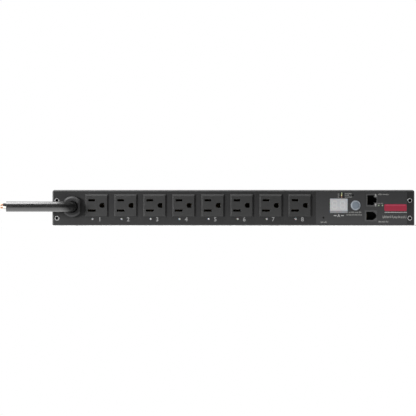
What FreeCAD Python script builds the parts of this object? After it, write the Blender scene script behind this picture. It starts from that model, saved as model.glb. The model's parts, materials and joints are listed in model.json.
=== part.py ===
import FreeCAD, Part
import math
import os
from FreeCAD import Vector

# Horizontal rack power strip, one rack unit high: eight switched outlets, a load display and
# a network section on the front, and a supply cord that leaves through the front at the left.
# Millimetres. X runs along the width, to the right for someone facing the outlets, Y runs from
# the front to the rear and Z is up. The origin is the centre of the enclosure's bottom face.

# ---------------------------------------------------------------- driving dimensions
WIDTH = 447.0
HEIGHT = 43.9
DEPTH = 114.3
SHEET = 1.2                    # steel thickness
SEAM = 0.25                    # visible gap between the two sheet-metal pieces
CLEAR = 0.1                    # gap between pieces that only sit side by side
THREAD_CLEAR = 0.05            # radial gap of a screw in its thread

HALF = WIDTH / 2
FRONT = -DEPTH / 2
REAR = DEPTH / 2
MID = HEIGHT / 2

# folded sheet metal
TOP_CORNER_R = 3.0             # seen from the front
BOTTOM_CORNER_R = 1.5
FRONT_BEND_R = 2.2             # front panel into its top lip
EDGE_BEND_R = 1.5
FRONT_LIP = 9.5                # depth of the lip behind the top front bend
END_LIP = 8.0                  # width of the lips on top of the end walls
TONGUE_START = 3.5             # from the front of the panel to the long tongue
TONGUE_INSET = 30.0            # from each end of the enclosure to the long tongue and flange
TONGUE_BEND = 2.0              # depth of the step where a tongue drops below its lip
SIDE_TONGUE_YS = (-22.0, 28.0)
SIDE_TONGUE_HALF = 12.0
SIDE_TONGUE_GAP = 3.0          # from a side tongue's tip to the outside of the end wall
SIDE_FLANGE_DEPTH = 16.0
SIDE_FLANGE_Z = (6.0, 37.0)
FLOOR_FLANGE_DEPTH = 12.0

# outlets
OUTLETS = 8
OUTLET_PITCH = 35.84
OUTLET_FIRST_X = -168.96
OUTLET_Z = MID + 2.8
OUTLET_FACE_W = 28.1
OUTLET_FACE_H = 28.0
OUTLET_PROUD = 2.0
OUTLET_BODY_W = 25.6
OUTLET_BODY_H = 26.0
OUTLET_BODY_DEPTH = 24.0       # behind the front of the panel
OUTLET_BEVEL = 1.1
OUTLET_TOP_BEVEL = 2.4
OUTLET_WALL = 3.0              # thickness of the face in front of the contacts
OUTLET_RIM = 0.5               # height of the straight edge below the bevel
CATCH_W = 7.0
CATCH_LENGTH = 7.0
CATCH_PROUD = 1.3
BLADE_POCKET = (10.0, 5.2)     # width and height of the room for a blade's clip
GROUND_POCKET = (7.0, 6.4)
BLADE_X = -5.85                # blade slots, from the outlet's centre
BLADE_Z = 6.35                 # half of the 12.7 mm blade spacing
BLADE_SLOT_H = 2.8
LINE_SLOT_W = 8.2
NEUTRAL_SLOT_W = 9.7
GROUND_X = 6.75
GROUND_R = 3.0
OUTLET_XS = [OUTLET_FIRST_X + OUTLET_PITCH * i for i in range(OUTLETS)]

# contacts and bus bars
CONTACT_FRONT = FRONT + 8.0
SPRING_T = 0.6
BLADE_CLIP_BACK = FRONT + 22.0
BLADE_CLIP_W = 7.6
BLADE_CLIP_OPEN = 1.5          # between a clip's two leaves
GROUND_CLIP_BACK = FRONT + 20.0
GROUND_CLIP_W = 5.0
GROUND_CLIP_OPEN = 4.7
TAIL_T = 0.8
TAIL_W = 4.0
TAIL_END = FRONT + 33.0
REAR_COVER_T = 1.6
BUS_FRONT = FRONT + 27.0
NEUTRAL_BUS_X = (-182.0, 92.0)
NEUTRAL_LEG_X = (-178.0, -173.0)
NEUTRAL_LEG_Y = -15.0
GROUND_BUS_X = (-189.0, 95.0)
GROUND_FOOT = 7.0              # length of the foot welded to the floor
LEAD_R = 1.4

# outlet indicators
LED_X = -4.77                  # from the outlet's centre
LED_Z = MID - 13.9
LENS_R = 1.2
LENS_PROUD = 0.5
LENS_DOME = 0.45               # height of the domed tip
INDICATOR_BOARD_Y = FRONT + 10.0
INDICATOR_BOARD_Z = (3.0, 11.0)
INDICATOR_BOARD_X = (OUTLET_XS[0] - 12.0, OUTLET_XS[-1] + 10.0)
LED_SIZE = (3.2, 1.6, 2.6)     # width, thickness and height
SMALL_LED_SIZE = (2.0, 1.2, 1.8)

# fixings
M3_R = 1.5
M3_HEAD_R = 2.7
M3_LENGTH = 8.0
RECESS = (3.0, 0.6, 0.7)       # length, width and depth of each arm of a cross recess
PAN_HEAD_R = 2.8
PAN_HEAD_H = 1.9
PAN_SCREW_LENGTH = 5.5
INSERT_X = 217.8
INSERT_ZS = (MID - 13.0, MID + 8.9)
INSERT_R = 2.72
INSERT_PROUD = 0.2
INSERT_BODY_R = 3.6
INSERT_BODY_END = FRONT + 5.0
INSERT_MOUTH = 0.35            # chamfer at the mouth of the thread
M4_TAP_R = 1.65
EAR_NUT_NECK_R = 2.6
EAR_NUT_R = 4.0
EAR_NUT_H = 3.0
EAR_HOLE_YS = (FRONT + 13.15, FRONT + 44.9)
EAR_HOLE_ZS = (MID - 11.0, MID + 11.0)
SIDE_SCREW_Y = REAR - 8.0
SIDE_SCREW_ZS = (12.0, 31.0)
FLOOR_SCREW_XS = (-150.0, 0.0, 150.0)
FLOOR_SCREW_Y = REAR - 7.0

# supply cord and its bushing
CORD_R = 6.35
CORD_BORE_R = 4.2
CORD_Z = MID + 1.25
CORD_BEND_R = 16.0
CORD_END_X = -279.0
BUSH_X = -199.0
BUSH_R = 12.6
BUSH_FLAT = 9.8                # from the centre to each side flat
BUSH_HEAD = 6.5                # how far the head stands out
BUSH_CHAMFER = 2.0
BUSH_NECK_R = 10.5
BUSH_NECK_FLAT = 9.2
BUSH_NECK_END = FRONT + 14.0
BUSH_CATCH_R = 12.0
BUSH_CATCH_END = FRONT + 6.0
BUSH_CATCH_GAP = 7.0           # half the gap between the upper and lower catches
BUSH_OPENING = (6.5, 7.2, 6.4)   # half width, half height and corner radius at the front
BUSH_FLARE = (7.4, 6.5, 1.2)   # radii and depth of the flared mouth
CLAMP_HALF_W = 5.0
CLAMP_START = FRONT + SHEET + 1.0
CLAMP_TOP = 9.9                # above the cord's line
CORD_Y = FRONT - BUSH_HEAD + 1.0 - CORD_BEND_R
CORD_INNER_END = FRONT + 20.0
CORE_R = 1.9
CORE_COPPER_R = 1.12
CORE_CIRCLE_R = 2.25           # the three cores lie on this circle

# relay board
BOARD_T = 1.6
STANDOFF_H = 6.0
BOARD_Z = SHEET + STANDOFF_H
BOARD_TOP = BOARD_Z + BOARD_T
RELAY_BOARD_X = (-186.0, 132.0)
RELAY_BOARD_Y = (-18.0, 44.0)
STANDOFF_XS = (-182.0, -27.0, 128.0)
STANDOFF_YS = (-15.0, 41.0)
STANDOFF_FLATS = 5.0
FIBRE_T = 0.4
FIBRE_MARGIN = 1.0             # beyond the board on every side
FIBRE_HOLE_R = 3.4
RELAY_W, RELAY_D, RELAY_H = 12.7, 29.0, 15.7
RELAY_Y = (-12.0, -12.0 + RELAY_D)
RELAY_TOP = BOARD_TOP + RELAY_H
BLOCK_X = (-178.5, -162.5)     # supply terminal block
BLOCK_Y = (24.0, 42.0)
BLOCK_H = 13.0
BLOCK_ENTRY_Z = 15.3
LINE_ENTRY_Y = 37.5
NEUTRAL_ENTRY_Y = 28.5
CLAMP_X = BLOCK_X[0] + 5.5
ENTRY_DEPTH = 9.0
CLAMP_WELL_R = 1.85
CLAMP_SCREW_R = 1.8
CLAMP_SLOT = (2.0, 0.3, 0.7)   # half length, half width and depth
CT_CENTRE = (BUSH_X, 0.0, 16.0)   # current transformer, threaded by the line core
CT_R = 10.0
CT_BORE_R = 4.5
CT_T = 9.0
CT_FOOT_TOP = CT_CENTRE[2] - 4.6
CORE_BLOCK = ((-152.0, -120.0), (25.0, 39.0), 27.0)   # transformer: limits along X and Y, height
BOBBIN = ((-147.0, -125.0), (20.0, 44.0), (4.0, 23.0), 3.0)   # X, Y, heights over the board, corner radius
CAPACITOR_XS = (-98.0, -80.0)
CAPACITOR_Y = 32.0
CAPACITOR_R = 6.3
CAPACITOR_H = 18.0
STUD_XY = (-212.0, 25.0)
STUD_R = 1.95
STUD_BASE = (3.6, 0.6)         # radius and height of the stud's weld base
STUD_TOP = 13.0
RING_R = 4.2
RING_T = 0.8
RING_BORE_R = 2.05
RING_NECK_HALF = 2.0
CRIMP_R = 2.6
CRIMP_Y = (STUD_XY[1] - 12.0, STUD_XY[1] - 6.5)
CRIMP_Z = 4.6                  # height of the ground core in its ring terminal
NUT_FLATS = 7.0
NUT_H = 3.2
NUT_BORE_R = 2.0

# control section
CONTROL_BOARD_X = (101.5, 213.0)
CONTROL_BOARD_Z = (4.0, 40.0)
CONTROL_BOARD_Y = FRONT + 15.0
POST_XZS = ((105.0, 36.9), (119.0, 6.6), (210.0, 36.9), (210.0, 6.6))
POST_R = 2.6
POST_THREAD = 8.0
OVERLAY_X = (101.8, 214.6)
OVERLAY_Z = (1.9, 41.5)
OVERLAY_T = 0.25
OVERLAY_CORNER_R = 1.5
DISPLAY_X = (119.2, 140.9)
DISPLAY_Z = (MID - 6.5, MID + 11.2)
DISPLAY_CORNER_R = 0.5
DISPLAY_PROUD = 0.05           # in front of the overlay
MODULE_INSET = 0.4
MODULE_T = 8.0
SOCKET_INSET = (3.0, 1.5)
STATUS_X = 133.6
STATUS_ZS = (MID + 13.3, MID + 15.55, MID + 17.8)
SENSOR_XZ = (147.6, MID + 15.4)
LINK_XS = (179.4, 184.0)
LINK_Z = MID + 2.8
STATUS_LENS_R = 0.85
STATUS_LENS_PROUD = 0.1
BUTTON_X = 150.9
BUTTON_Z = MID + 2.85
BUTTON_R = 4.35
BEZEL_R = 6.0
BEZEL_BORE_R = 4.45
BEZEL_SLEEVE_R = 5.2
BEZEL_PROUD = 0.7
BEZEL_EDGE_R = 0.4
BEZEL_END = FRONT + 2.5
BUTTON_PROUD = 1.3
BUTTON_EDGE_R = 0.5
BUTTON_STEM_R = 1.7
COLLAR_T = 0.8
BUTTON_TRAVEL = 0.5
STEM_END = FRONT + 7.45
RESET_X = 111.3
RESET_Z = MID - 12.4
PINHOLE_R = 1.1
RESET_PLUNGER_R = 1.4
RESET_PLUNGER_LENGTH = 5.5     # from its tip to the control board
RESET_TRAVEL = 0.25
SWITCH_SIDE = 6.0
SWITCH_H = 3.5
SWITCH_WELL = 2.4
OVERTRAVEL = 0.2               # room left below a plunger at the end of its travel

# modular jacks, turned so that the latch is on the right
NETWORK_X = (163.4, 178.0)
NETWORK_Z = (MID + 1.0, MID + 17.6)
NETWORK_CAVITY_X = (165.4, 173.8)
NETWORK_CAVITY_H = 12.2
NETWORK_LATCH_X = 176.9
NETWORK_LATCH_H = 5.8
SERIAL_X = (161.5, 177.4)
SERIAL_Z = (MID - 17.2, MID - 3.0)
SERIAL_CAVITY_X = (164.2, 173.2)
SERIAL_CAVITY_H = 10.2
SERIAL_NOTCH = ((175.0, 7.6), (176.5, 4.6))   # each step's far side and height
JACK_CAVITY_DEPTH = 12.5
JACK_LED_X = (174.8, 176.4)
JACK_LED_H = 3.2
JACK_LED_RISE = 1.3            # between the latch notch and each window
JACK_LED_DEPTH = 6.0
JACK_LED_GAP = 0.05
JACK_NOTCH_START = 2.0         # how far a notch overlaps its opening
JACK_WIRE_PITCH = 1.02
JACK_WIRE = (0.2, 0.6, 0.4)    # near and far side from the opening's wall, and height
CHIPS = ((150.0, 24.0, 20.0), (176.0, 22.0, 14.0), (192.0, 30.0, 9.0))   # x, z and side
CHIP_T = 1.5

# ribbon cable between the boards
RIBBON_X = 118.0
RIBBON_W = 12.7
RIBBON_T = 0.9
RIBBON_Y = 10.0                # of its header on the relay board
RIBBON_Z = 24.0                # of its header on the control board
RIBBON_BEND = 3.0
HEADER_HALF_W = 8.0
HEADER_HALF_H = 3.0
HEADER_T = 3.0
RIBBON_SOCKET = (7.5, 2.6, 5.0)   # half width, half height and depth


# ---------------------------------------------------------------- building blocks
def box(xs, ys, zs):
    """A block between the two limits given on each axis."""
    return Part.makeBox(xs[1] - xs[0], ys[1] - ys[0], zs[1] - zs[0], Vector(xs[0], ys[0], zs[0]))


def around(middle, half):
    """The limits of a span about its middle."""
    return (middle - half, middle + half)


def rod_x(y, z, radius, xs):
    return Part.makeCylinder(radius, xs[1] - xs[0], Vector(xs[0], y, z), Vector(1, 0, 0))


def rod_y(x, z, radius, ys):
    return Part.makeCylinder(radius, ys[1] - ys[0], Vector(x, ys[0], z), Vector(0, 1, 0))


def rod_z(x, y, radius, zs):
    return Part.makeCylinder(radius, zs[1] - zs[0], Vector(x, y, zs[0]), Vector(0, 0, 1))


def hex_z(x, y, across_flats, zs):
    """A hexagonal bar along Z."""
    reach = across_flats / math.sqrt(3)
    corners = [Vector(x + reach * math.cos(math.radians(60 * i)),
                      y + reach * math.sin(math.radians(60 * i)), zs[0]) for i in range(7)]
    return Part.Face(Part.makePolygon(corners)).extrude(Vector(0, 0, zs[1] - zs[0]))


def fuse(shapes):
    shapes = list(shapes)
    return shapes[0].multiFuse(shapes[1:]).removeSplitter() if len(shapes) > 1 else shapes[0]


def cut(shape, tools):
    tools = list(tools)
    return shape.cut(Part.makeCompound(tools)) if tools else shape


def rectangle_at_y(xs, zs, y):
    return Part.makePolygon([Vector(xs[0], y, zs[0]), Vector(xs[1], y, zs[0]), Vector(xs[1], y, zs[1]),
                             Vector(xs[0], y, zs[1]), Vector(xs[0], y, zs[0])])


def rounded_face(us, vs, radii, place):
    """A rectangle with its own corner radii, from the low corner anticlockwise. place turns
    (u, v) into a point."""
    corners = [(us[0], vs[0]), (us[1], vs[0]), (us[1], vs[1]), (us[0], vs[1])]
    sides = [(1, 0), (0, 1), (-1, 0), (0, -1)]
    edges, last, first = [], None, None
    for i, ((u, v), radius) in enumerate(zip(corners, radii)):
        into, out = sides[i - 1], sides[i]
        start = (u - radius * into[0], v - radius * into[1])
        end = (u + radius * out[0], v + radius * out[1])
        centre = (start[0] + radius * out[0], start[1] + radius * out[1])
        reach = radius / math.sqrt(2)
        middle = (centre[0] + reach * (into[0] - out[0]), centre[1] + reach * (into[1] - out[1]))
        if last:
            edges.append(Part.makeLine(place(*last), place(*start)))
        else:
            first = start
        if radius:
            edges.append(Part.Arc(place(*start), place(*middle), place(*end)).toShape())
        last = end
    edges.append(Part.makeLine(place(*last), place(*first)))
    return Part.Face(Part.Wire(edges))


def rounded_plate_y(xs, zs, radius, ys):
    """A plate facing along Y with rounded corners."""
    face = rounded_face(xs, zs, [radius] * 4, lambda u, v: Vector(u, ys[0], v))
    return face.extrude(Vector(0, ys[1] - ys[0], 0))


def sweep(profile_radius, path, bore_radius=0.0):
    """A round bar, or a tube, along a smooth wire."""
    edge = path.Edges[0]
    start = edge.valueAt(edge.FirstParameter)
    along = edge.tangentAt(edge.FirstParameter)
    profile = Part.Face(Part.Wire(Part.makeCircle(profile_radius, start, along)))
    if bore_radius:
        profile = profile.cut(Part.Face(Part.Wire(Part.makeCircle(bore_radius, start, along)))).Faces[0]
    return path.makePipe(profile)


def front_edges(shape, y):
    """The edges that lie wholly in the plane at y."""
    return [e for e in shape.Edges
            if all(abs(p.y - y) < 1e-6 for p in (e.Vertexes[0].Point, e.Vertexes[-1].Point, e.CenterOfMass))]


def spline(points, start_way, end_way):
    curve = Part.BSplineCurve()
    curve.interpolate(Points=[Vector(*p) for p in points],
                      InitialTangent=Vector(*start_way), FinalTangent=Vector(*end_way))
    return curve.toShape()


def write(node, shapes):
    """Save one node's solids as a STEP file."""
    solids = [s for shape in shapes for s in shape.Solids]
    shape = Part.makeCompound(solids) if len(solids) > 1 else solids[0]
    shape.exportStep(f"parts/{node}.step")


# ---------------------------------------------------------------- enclosure
def enclosure_block(inset):
    """The enclosure's outer form, or with an inset the space inside its sheet metal."""
    xs = (-HALF + inset, HALF - inset)
    ys = (FRONT + inset, REAR - inset)
    zs = (inset, HEIGHT - inset)
    top, bottom = TOP_CORNER_R - inset, BOTTOM_CORNER_R - inset
    bend, edge = FRONT_BEND_R - inset, EDGE_BEND_R - inset
    front = rounded_face(xs, zs, [bottom, bottom, top, top], lambda u, v: Vector(u, ys[0], v))
    side = rounded_face(ys, zs, [edge, edge, edge, bend], lambda u, v: Vector(xs[0], u, v))
    plan = rounded_face(xs, ys, [edge] * 4, lambda u, v: Vector(u, v, zs[0]))
    block = front.extrude(Vector(0, ys[1] - ys[0], 0))
    block = block.common(side.extrude(Vector(xs[1] - xs[0], 0, 0)))
    return block.common(plan.extrude(Vector(0, 0, zs[1] - zs[0])))


def enclosure_shell():
    return enclosure_block(0).cut(enclosure_block(SHEET))


def countersunk_hole(base, way, depth=SHEET):
    """The cone through a sheet that a flush screw head needs, opening against way."""
    return Part.makeCone(M3_HEAD_R + THREAD_CLEAR, M3_R + 2 * THREAD_CLEAR, depth, base, way)


def cover_screw_places():
    """Where each cover screw starts, on the outside, and which way it goes in."""
    ends = [(Vector(side * HALF, SIDE_SCREW_Y, z), Vector(-side, 0, 0))
            for side in (-1, 1) for z in SIDE_SCREW_ZS]
    floor = [(Vector(x, FLOOR_SCREW_Y, 0), Vector(0, 0, 1)) for x in FLOOR_SCREW_XS]
    return ends + floor


def bushing_outline(radius, flat, ys):
    """A round bar with two side flats, as a strain-relief bushing and its hole have."""
    bar = rod_y(BUSH_X, CORD_Z, radius, ys)
    return bar.common(box(around(BUSH_X, flat), ys, around(CORD_Z, radius)))


def lens_places():
    """Centres of the small lenses in the control section."""
    status = [(STATUS_X, z) for z in STATUS_ZS]
    link = [(x, LINK_Z) for x in LINK_XS]
    return status + [SENSOR_XZ] + link


def control_openings(ys, gap):
    """The openings of the control section, for the panel and the overlay in front of it."""
    yield box((DISPLAY_X[0] - gap, DISPLAY_X[1] + gap), ys, (DISPLAY_Z[0] - gap, DISPLAY_Z[1] + gap))
    for x, z in lens_places():
        yield rod_y(x, z, STATUS_LENS_R + gap, ys)
    yield rod_y(BUTTON_X, BUTTON_Z, BEZEL_SLEEVE_R + gap, ys)
    yield rod_y(RESET_X, RESET_Z, PINHOLE_R, ys)
    for xs, zs in ((NETWORK_X, NETWORK_Z), (SERIAL_X, SERIAL_Z)):
        yield box((xs[0] - gap, xs[1] + gap), ys, (zs[0] - gap, zs[1] + gap))


def chassis_base():
    """Tray with floor, front panel and end walls, lipped inwards along its top."""
    through = (FRONT - 1, FRONT + SHEET + 1)
    tools = [
        box(around(0, HALF - END_LIP), (FRONT + FRONT_LIP, REAR + 1), (HEIGHT - 2 * SHEET, HEIGHT + 1)),
        box(around(0, HALF - SHEET), (REAR - SHEET - SEAM, REAR + 1), (-1, HEIGHT + 1)),
        bushing_outline(BUSH_NECK_R + CLEAR, BUSH_NECK_FLAT + CLEAR, through),
    ]
    for x in OUTLET_XS:
        tools.append(box(around(x, OUTLET_BODY_W / 2 + CLEAR), through,
                         around(OUTLET_Z, OUTLET_BODY_H / 2 + CLEAR)))
        tools.append(rod_y(x + LED_X, LED_Z, LENS_R + THREAD_CLEAR, through))
    tools += control_openings(through, CLEAR)
    tools += [rod_y(side * INSERT_X, z, INSERT_R, through) for side in (-1, 1) for z in INSERT_ZS]
    for side in (-1, 1):
        wall = sorted((side * (HALF + 1), side * (HALF - SHEET - 1)))
        tools += [rod_x(y, z, EAR_NUT_NECK_R, wall) for y in EAR_HOLE_YS for z in EAR_HOLE_ZS]
    tools += [countersunk_hole(base, way) for base, way in cover_screw_places()]
    return [cut(enclosure_shell(), tools)]


def top_cover():
    """Top panel and rear wall in one folded piece, with tongues under the chassis lips."""
    panel = box(around(0, HALF - END_LIP - SEAM), (FRONT + FRONT_LIP + SEAM, REAR),
                (HEIGHT - 2 * SHEET, HEIGHT))
    wall = box(around(0, HALF - SHEET - SEAM), (REAR - SHEET, REAR), (0, HEIGHT))
    skin = enclosure_shell().common(panel.fuse(wall))

    tongue_z = (HEIGHT - 2 * SHEET - CLEAR, HEIGHT - SHEET - CLEAR)
    joggle_z = (tongue_z[0], HEIGHT)
    lip_end = FRONT + FRONT_LIP + SEAM
    long_xs = around(0, HALF - TONGUE_INSET)
    extras = [
        box(long_xs, (FRONT + TONGUE_START, lip_end + TONGUE_BEND), tongue_z),
        box(long_xs, (lip_end, lip_end + TONGUE_BEND), joggle_z),
    ]
    for side in (-1, 1):
        lip = side * (HALF - END_LIP - SEAM)
        bend = lip - side * TONGUE_BEND
        for y in SIDE_TONGUE_YS:
            tip = side * (HALF - SIDE_TONGUE_GAP)
            extras.append(box(sorted((bend, tip)), around(y, SIDE_TONGUE_HALF), tongue_z))
            extras.append(box(sorted((bend, lip)), around(y, SIDE_TONGUE_HALF), joggle_z))
        inner = side * (HALF - SHEET - CLEAR)
        extras.append(box(sorted((inner, inner - side * SHEET)),
                          (REAR - SIDE_FLANGE_DEPTH, REAR - SHEET / 2), SIDE_FLANGE_Z))
    floor_flange_z = (SHEET + CLEAR, 2 * SHEET + CLEAR)
    extras.append(box(long_xs, (REAR - FLOOR_FLANGE_DEPTH, REAR - SHEET / 2), floor_flange_z))
    holes = [Part.makeCylinder(M3_R + THREAD_CLEAR, M3_LENGTH, base, way)
             for base, way in cover_screw_places()]
    return [cut(fuse([skin] + extras), holes)]


def cover_screw(base, way):
    """Flush countersunk screw with a cross recess."""
    head = Part.makeCone(M3_HEAD_R, M3_R, SHEET, base, way)
    shank = Part.makeCylinder(M3_R, M3_LENGTH, base, way)
    length, width, depth = RECESS
    across = Vector(0, 1, 0) if abs(way.x) > 0.5 else Vector(1, 0, 0)
    other = way.cross(across)
    recess = []
    for along, thin in ((across, other), (other, across)):
        start = base - along * (length / 2) - thin * (width / 2) - way
        arm = Part.makePolygon([start, start + along * length, start + along * length + thin * width,
                                start + thin * width, start])
        recess.append(Part.Face(arm).extrude(way * (1 + depth)))
    return cut(head.fuse(shank), recess)


def cover_screws():
    return [cover_screw(base, way) for base, way in cover_screw_places()]


def front_inserts():
    """Clinched threaded bushes near the panel's corners, bright where they show."""
    made = []
    for side in (-1, 1):
        for z in INSERT_ZS:
            x = side * INSERT_X
            front = FRONT - INSERT_PROUD
            bush = fuse([rod_y(x, z, INSERT_R, (front, FRONT + SHEET)),
                         rod_y(x, z, INSERT_BODY_R, (FRONT + SHEET, INSERT_BODY_END))])
            mouth = Part.makeCone(M4_TAP_R + INSERT_MOUTH, M4_TAP_R, INSERT_MOUTH, Vector(x, front, z),
                                  Vector(0, 1, 0))
            made.append(cut(bush, [rod_y(x, z, M4_TAP_R, (front - 1, INSERT_BODY_END + 1)), mouth]))
    return made


def ear_nuts():
    """Clinch nuts in the end walls that take the rack ears' screws."""
    made = []
    for side in (-1, 1):
        inner = side * (HALF - SHEET)
        for y in EAR_HOLE_YS:
            for z in EAR_HOLE_ZS:
                end = inner - side * EAR_NUT_H
                nut = fuse([rod_x(y, z, EAR_NUT_NECK_R, sorted((inner, side * HALF))),
                            rod_x(y, z, EAR_NUT_R, sorted((end, inner)))])
                bore = rod_x(y, z, M4_TAP_R, sorted((end - side, side * (HALF + 1))))
                made.append(nut.cut(bore))
    return made


def control_overlay():
    """Thin printed film stuck over the control section."""
    film = rounded_plate_y(OVERLAY_X, OVERLAY_Z, OVERLAY_CORNER_R, (FRONT - OVERLAY_T, FRONT))
    return [cut(film, control_openings((FRONT - 1, FRONT + 1), CLEAR))]


# ---------------------------------------------------------------- outlets
def ground_opening(x, grow, ys):
    """The ground hole: round towards the blades, square on the far side."""
    radius = GROUND_R + grow
    return fuse([rod_y(x + GROUND_X, OUTLET_Z, radius, ys),
                 box((x + GROUND_X, x + GROUND_X + radius), ys, around(OUTLET_Z, radius))])


def outlet_housing(x):
    """Moulded outlet with a bevelled face, open at the back for its contacts."""
    zs = around(OUTLET_Z, OUTLET_FACE_H / 2)
    xs = around(x, OUTLET_FACE_W / 2)
    edge = FRONT - OUTLET_RIM
    front = FRONT - OUTLET_PROUD
    flange = box(xs, (edge, FRONT), zs)
    face_xs = (xs[0] + OUTLET_BEVEL, xs[1] - OUTLET_BEVEL)
    face_zs = (zs[0] + OUTLET_BEVEL, zs[1] - OUTLET_TOP_BEVEL)
    bevel = Part.makeLoft([rectangle_at_y(xs, zs, edge), rectangle_at_y(face_xs, face_zs, front)],
                          True, True)
    body_end = FRONT + OUTLET_BODY_DEPTH
    body = box(around(x, OUTLET_BODY_W / 2), (FRONT, body_end), around(OUTLET_Z, OUTLET_BODY_H / 2))
    catches = []
    for side in (-1, 1):
        wall = x + side * OUTLET_BODY_W / 2
        back = FRONT + SHEET + THREAD_CLEAR
        z = OUTLET_Z - CATCH_W / 2
        points = [Vector(wall, back, z), Vector(wall + side * CATCH_PROUD, back, z),
                  Vector(wall, back + CATCH_LENGTH, z), Vector(wall, back, z)]
        catches.append(Part.Face(Part.makePolygon(points)).extrude(Vector(0, 0, CATCH_W)))
    housing = fuse([flange, bevel, body] + catches)

    through = (front - 1, body_end + 1)
    cavity = (front + OUTLET_WALL, body_end + 1)
    blade = x + BLADE_X
    ground = x + GROUND_X
    tools = [
        box(around(blade, LINE_SLOT_W / 2), through, around(OUTLET_Z + BLADE_Z, BLADE_SLOT_H / 2)),
        box(around(blade, NEUTRAL_SLOT_W / 2), through, around(OUTLET_Z - BLADE_Z, BLADE_SLOT_H / 2)),
        ground_opening(x, 0, through),
        box(around(ground, GROUND_POCKET[0] / 2), cavity, around(OUTLET_Z, GROUND_POCKET[1] / 2)),
    ]
    tools += [box(around(blade, BLADE_POCKET[0] / 2), cavity,
                  around(OUTLET_Z + side * BLADE_Z, BLADE_POCKET[1] / 2)) for side in (-1, 1)]
    return [cut(housing, tools)]


def outlet_rear_covers():
    """Plates that close the outlets' backs, slotted for the contact tails."""
    ys = (FRONT + OUTLET_BODY_DEPTH, FRONT + OUTLET_BODY_DEPTH + REAR_COVER_T)
    made = []
    for x in OUTLET_XS:
        plate = box(around(x, OUTLET_BODY_W / 2), ys, around(OUTLET_Z, OUTLET_BODY_H / 2))
        tails = [(x + BLADE_X, OUTLET_Z + BLADE_Z), (x + BLADE_X, OUTLET_Z - BLADE_Z),
                 (x + GROUND_X, OUTLET_Z)]
        slots = [box(around(tx, TAIL_W / 2 + CLEAR), (ys[0] - 1, ys[1] + 1), around(tz, TAIL_T / 2 + CLEAR))
                 for tx, tz in tails]
        made.append(cut(plate, slots))
    return made


def blade_contacts():
    """Folded spring clips behind the line and neutral slots, each with a solder tail."""
    made = []
    base = (BLADE_CLIP_BACK, BLADE_CLIP_BACK + SPRING_T)
    gap = BLADE_CLIP_OPEN / 2
    for x in OUTLET_XS:
        for side in (-1, 1):
            xs = around(x + BLADE_X, BLADE_CLIP_W / 2)
            z = OUTLET_Z + side * BLADE_Z
            leaves = [box(xs, (CONTACT_FRONT, base[1]), (z + low, z + low + SPRING_T))
                      for low in (-gap - SPRING_T, gap)]
            made.append(fuse(leaves + [
                box(xs, base, around(z, gap + SPRING_T)),
                box(around(x + BLADE_X, TAIL_W / 2), (base[0], TAIL_END), around(z, TAIL_T / 2)),
            ]))
    return made


def ground_contacts():
    """Folded spring clips behind the ground holes, each with a solder tail."""
    made = []
    base = (GROUND_CLIP_BACK, GROUND_CLIP_BACK + SPRING_T)
    gap = GROUND_CLIP_OPEN / 2
    for outlet_x in OUTLET_XS:
        x = outlet_x + GROUND_X
        zs = around(OUTLET_Z, GROUND_CLIP_W / 2)
        leaves = [box((x + low, x + low + SPRING_T), (CONTACT_FRONT, base[1]), zs)
                  for low in (-gap - SPRING_T, gap)]
        made.append(fuse(leaves + [
            box(around(x, gap + SPRING_T), base, zs),
            box(around(x, TAIL_W / 2), (base[0], TAIL_END), around(OUTLET_Z, TAIL_T / 2)),
        ]))
    return made


def neutral_bus():
    """Copper strip under the neutral tails, with a leg down to the relay board."""
    top = OUTLET_Z - BLADE_Z - TAIL_T / 2
    zs = (top - TAIL_T, top)
    leg_y = (NEUTRAL_LEG_Y, NEUTRAL_LEG_Y + TAIL_T)
    return [fuse([
        box(NEUTRAL_BUS_X, (BUS_FRONT, TAIL_END), zs),
        box(NEUTRAL_LEG_X, (BUS_FRONT, leg_y[1]), zs),
        box(NEUTRAL_LEG_X, leg_y, (BOARD_TOP, top)),
    ])]


def ground_bus():
    """Copper strip over the ground tails, with a leg welded to the chassis floor."""
    bottom = OUTLET_Z + TAIL_T / 2
    zs = (bottom, bottom + TAIL_T)
    ys = (BUS_FRONT, TAIL_END)
    left = GROUND_BUS_X[0]
    return [fuse([
        box(GROUND_BUS_X, ys, zs),
        box((left, left + TAIL_T), ys, (SHEET, zs[1])),
        box((left - GROUND_FOOT, left + TAIL_T), ys, (SHEET, SHEET + TAIL_T)),
    ])]


def line_leads():
    """Insulated leads from each line tail back to its relay."""
    made = []
    z = OUTLET_Z + BLADE_Z
    for x in OUTLET_XS:
        points = [(x + BLADE_X, TAIL_END, z), (x + BLADE_X / 2, TAIL_END + 11, z + 1.5),
                  (x, RELAY_Y[0] + 9, RELAY_TOP + 5), (x, RELAY_Y[0] + 10, RELAY_TOP)]
        made.append(sweep(LEAD_R, Part.Wire(spline(points, (0, 10, 0), (0, 0, -8)))))
    return made


# ---------------------------------------------------------------- outlet indicators
def indicator_board():
    """Long narrow circuit board below the outlets, carrying one indicator for each."""
    return [box(INDICATOR_BOARD_X, (INDICATOR_BOARD_Y, INDICATOR_BOARD_Y + BOARD_T), INDICATOR_BOARD_Z)]


def indicator_lenses():
    """Moulded light pipes, domed where they stand through the panel."""
    made = []
    for x in OUTLET_XS:
        tip, end = FRONT - LENS_PROUD, INDICATOR_BOARD_Y - LED_SIZE[1] - CLEAR
        pipe = rod_y(x + LED_X, LED_Z, LENS_R, (tip, end))
        dome_r = (LENS_R ** 2 + LENS_DOME ** 2) / (2 * LENS_DOME)
        dome = Part.makeSphere(dome_r, Vector(x + LED_X, tip + dome_r, LED_Z))
        rear = rod_y(x + LED_X, LED_Z, LENS_R, (tip + LENS_DOME, end))
        made.append(fuse([pipe.common(dome), rear]))
    return made


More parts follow.
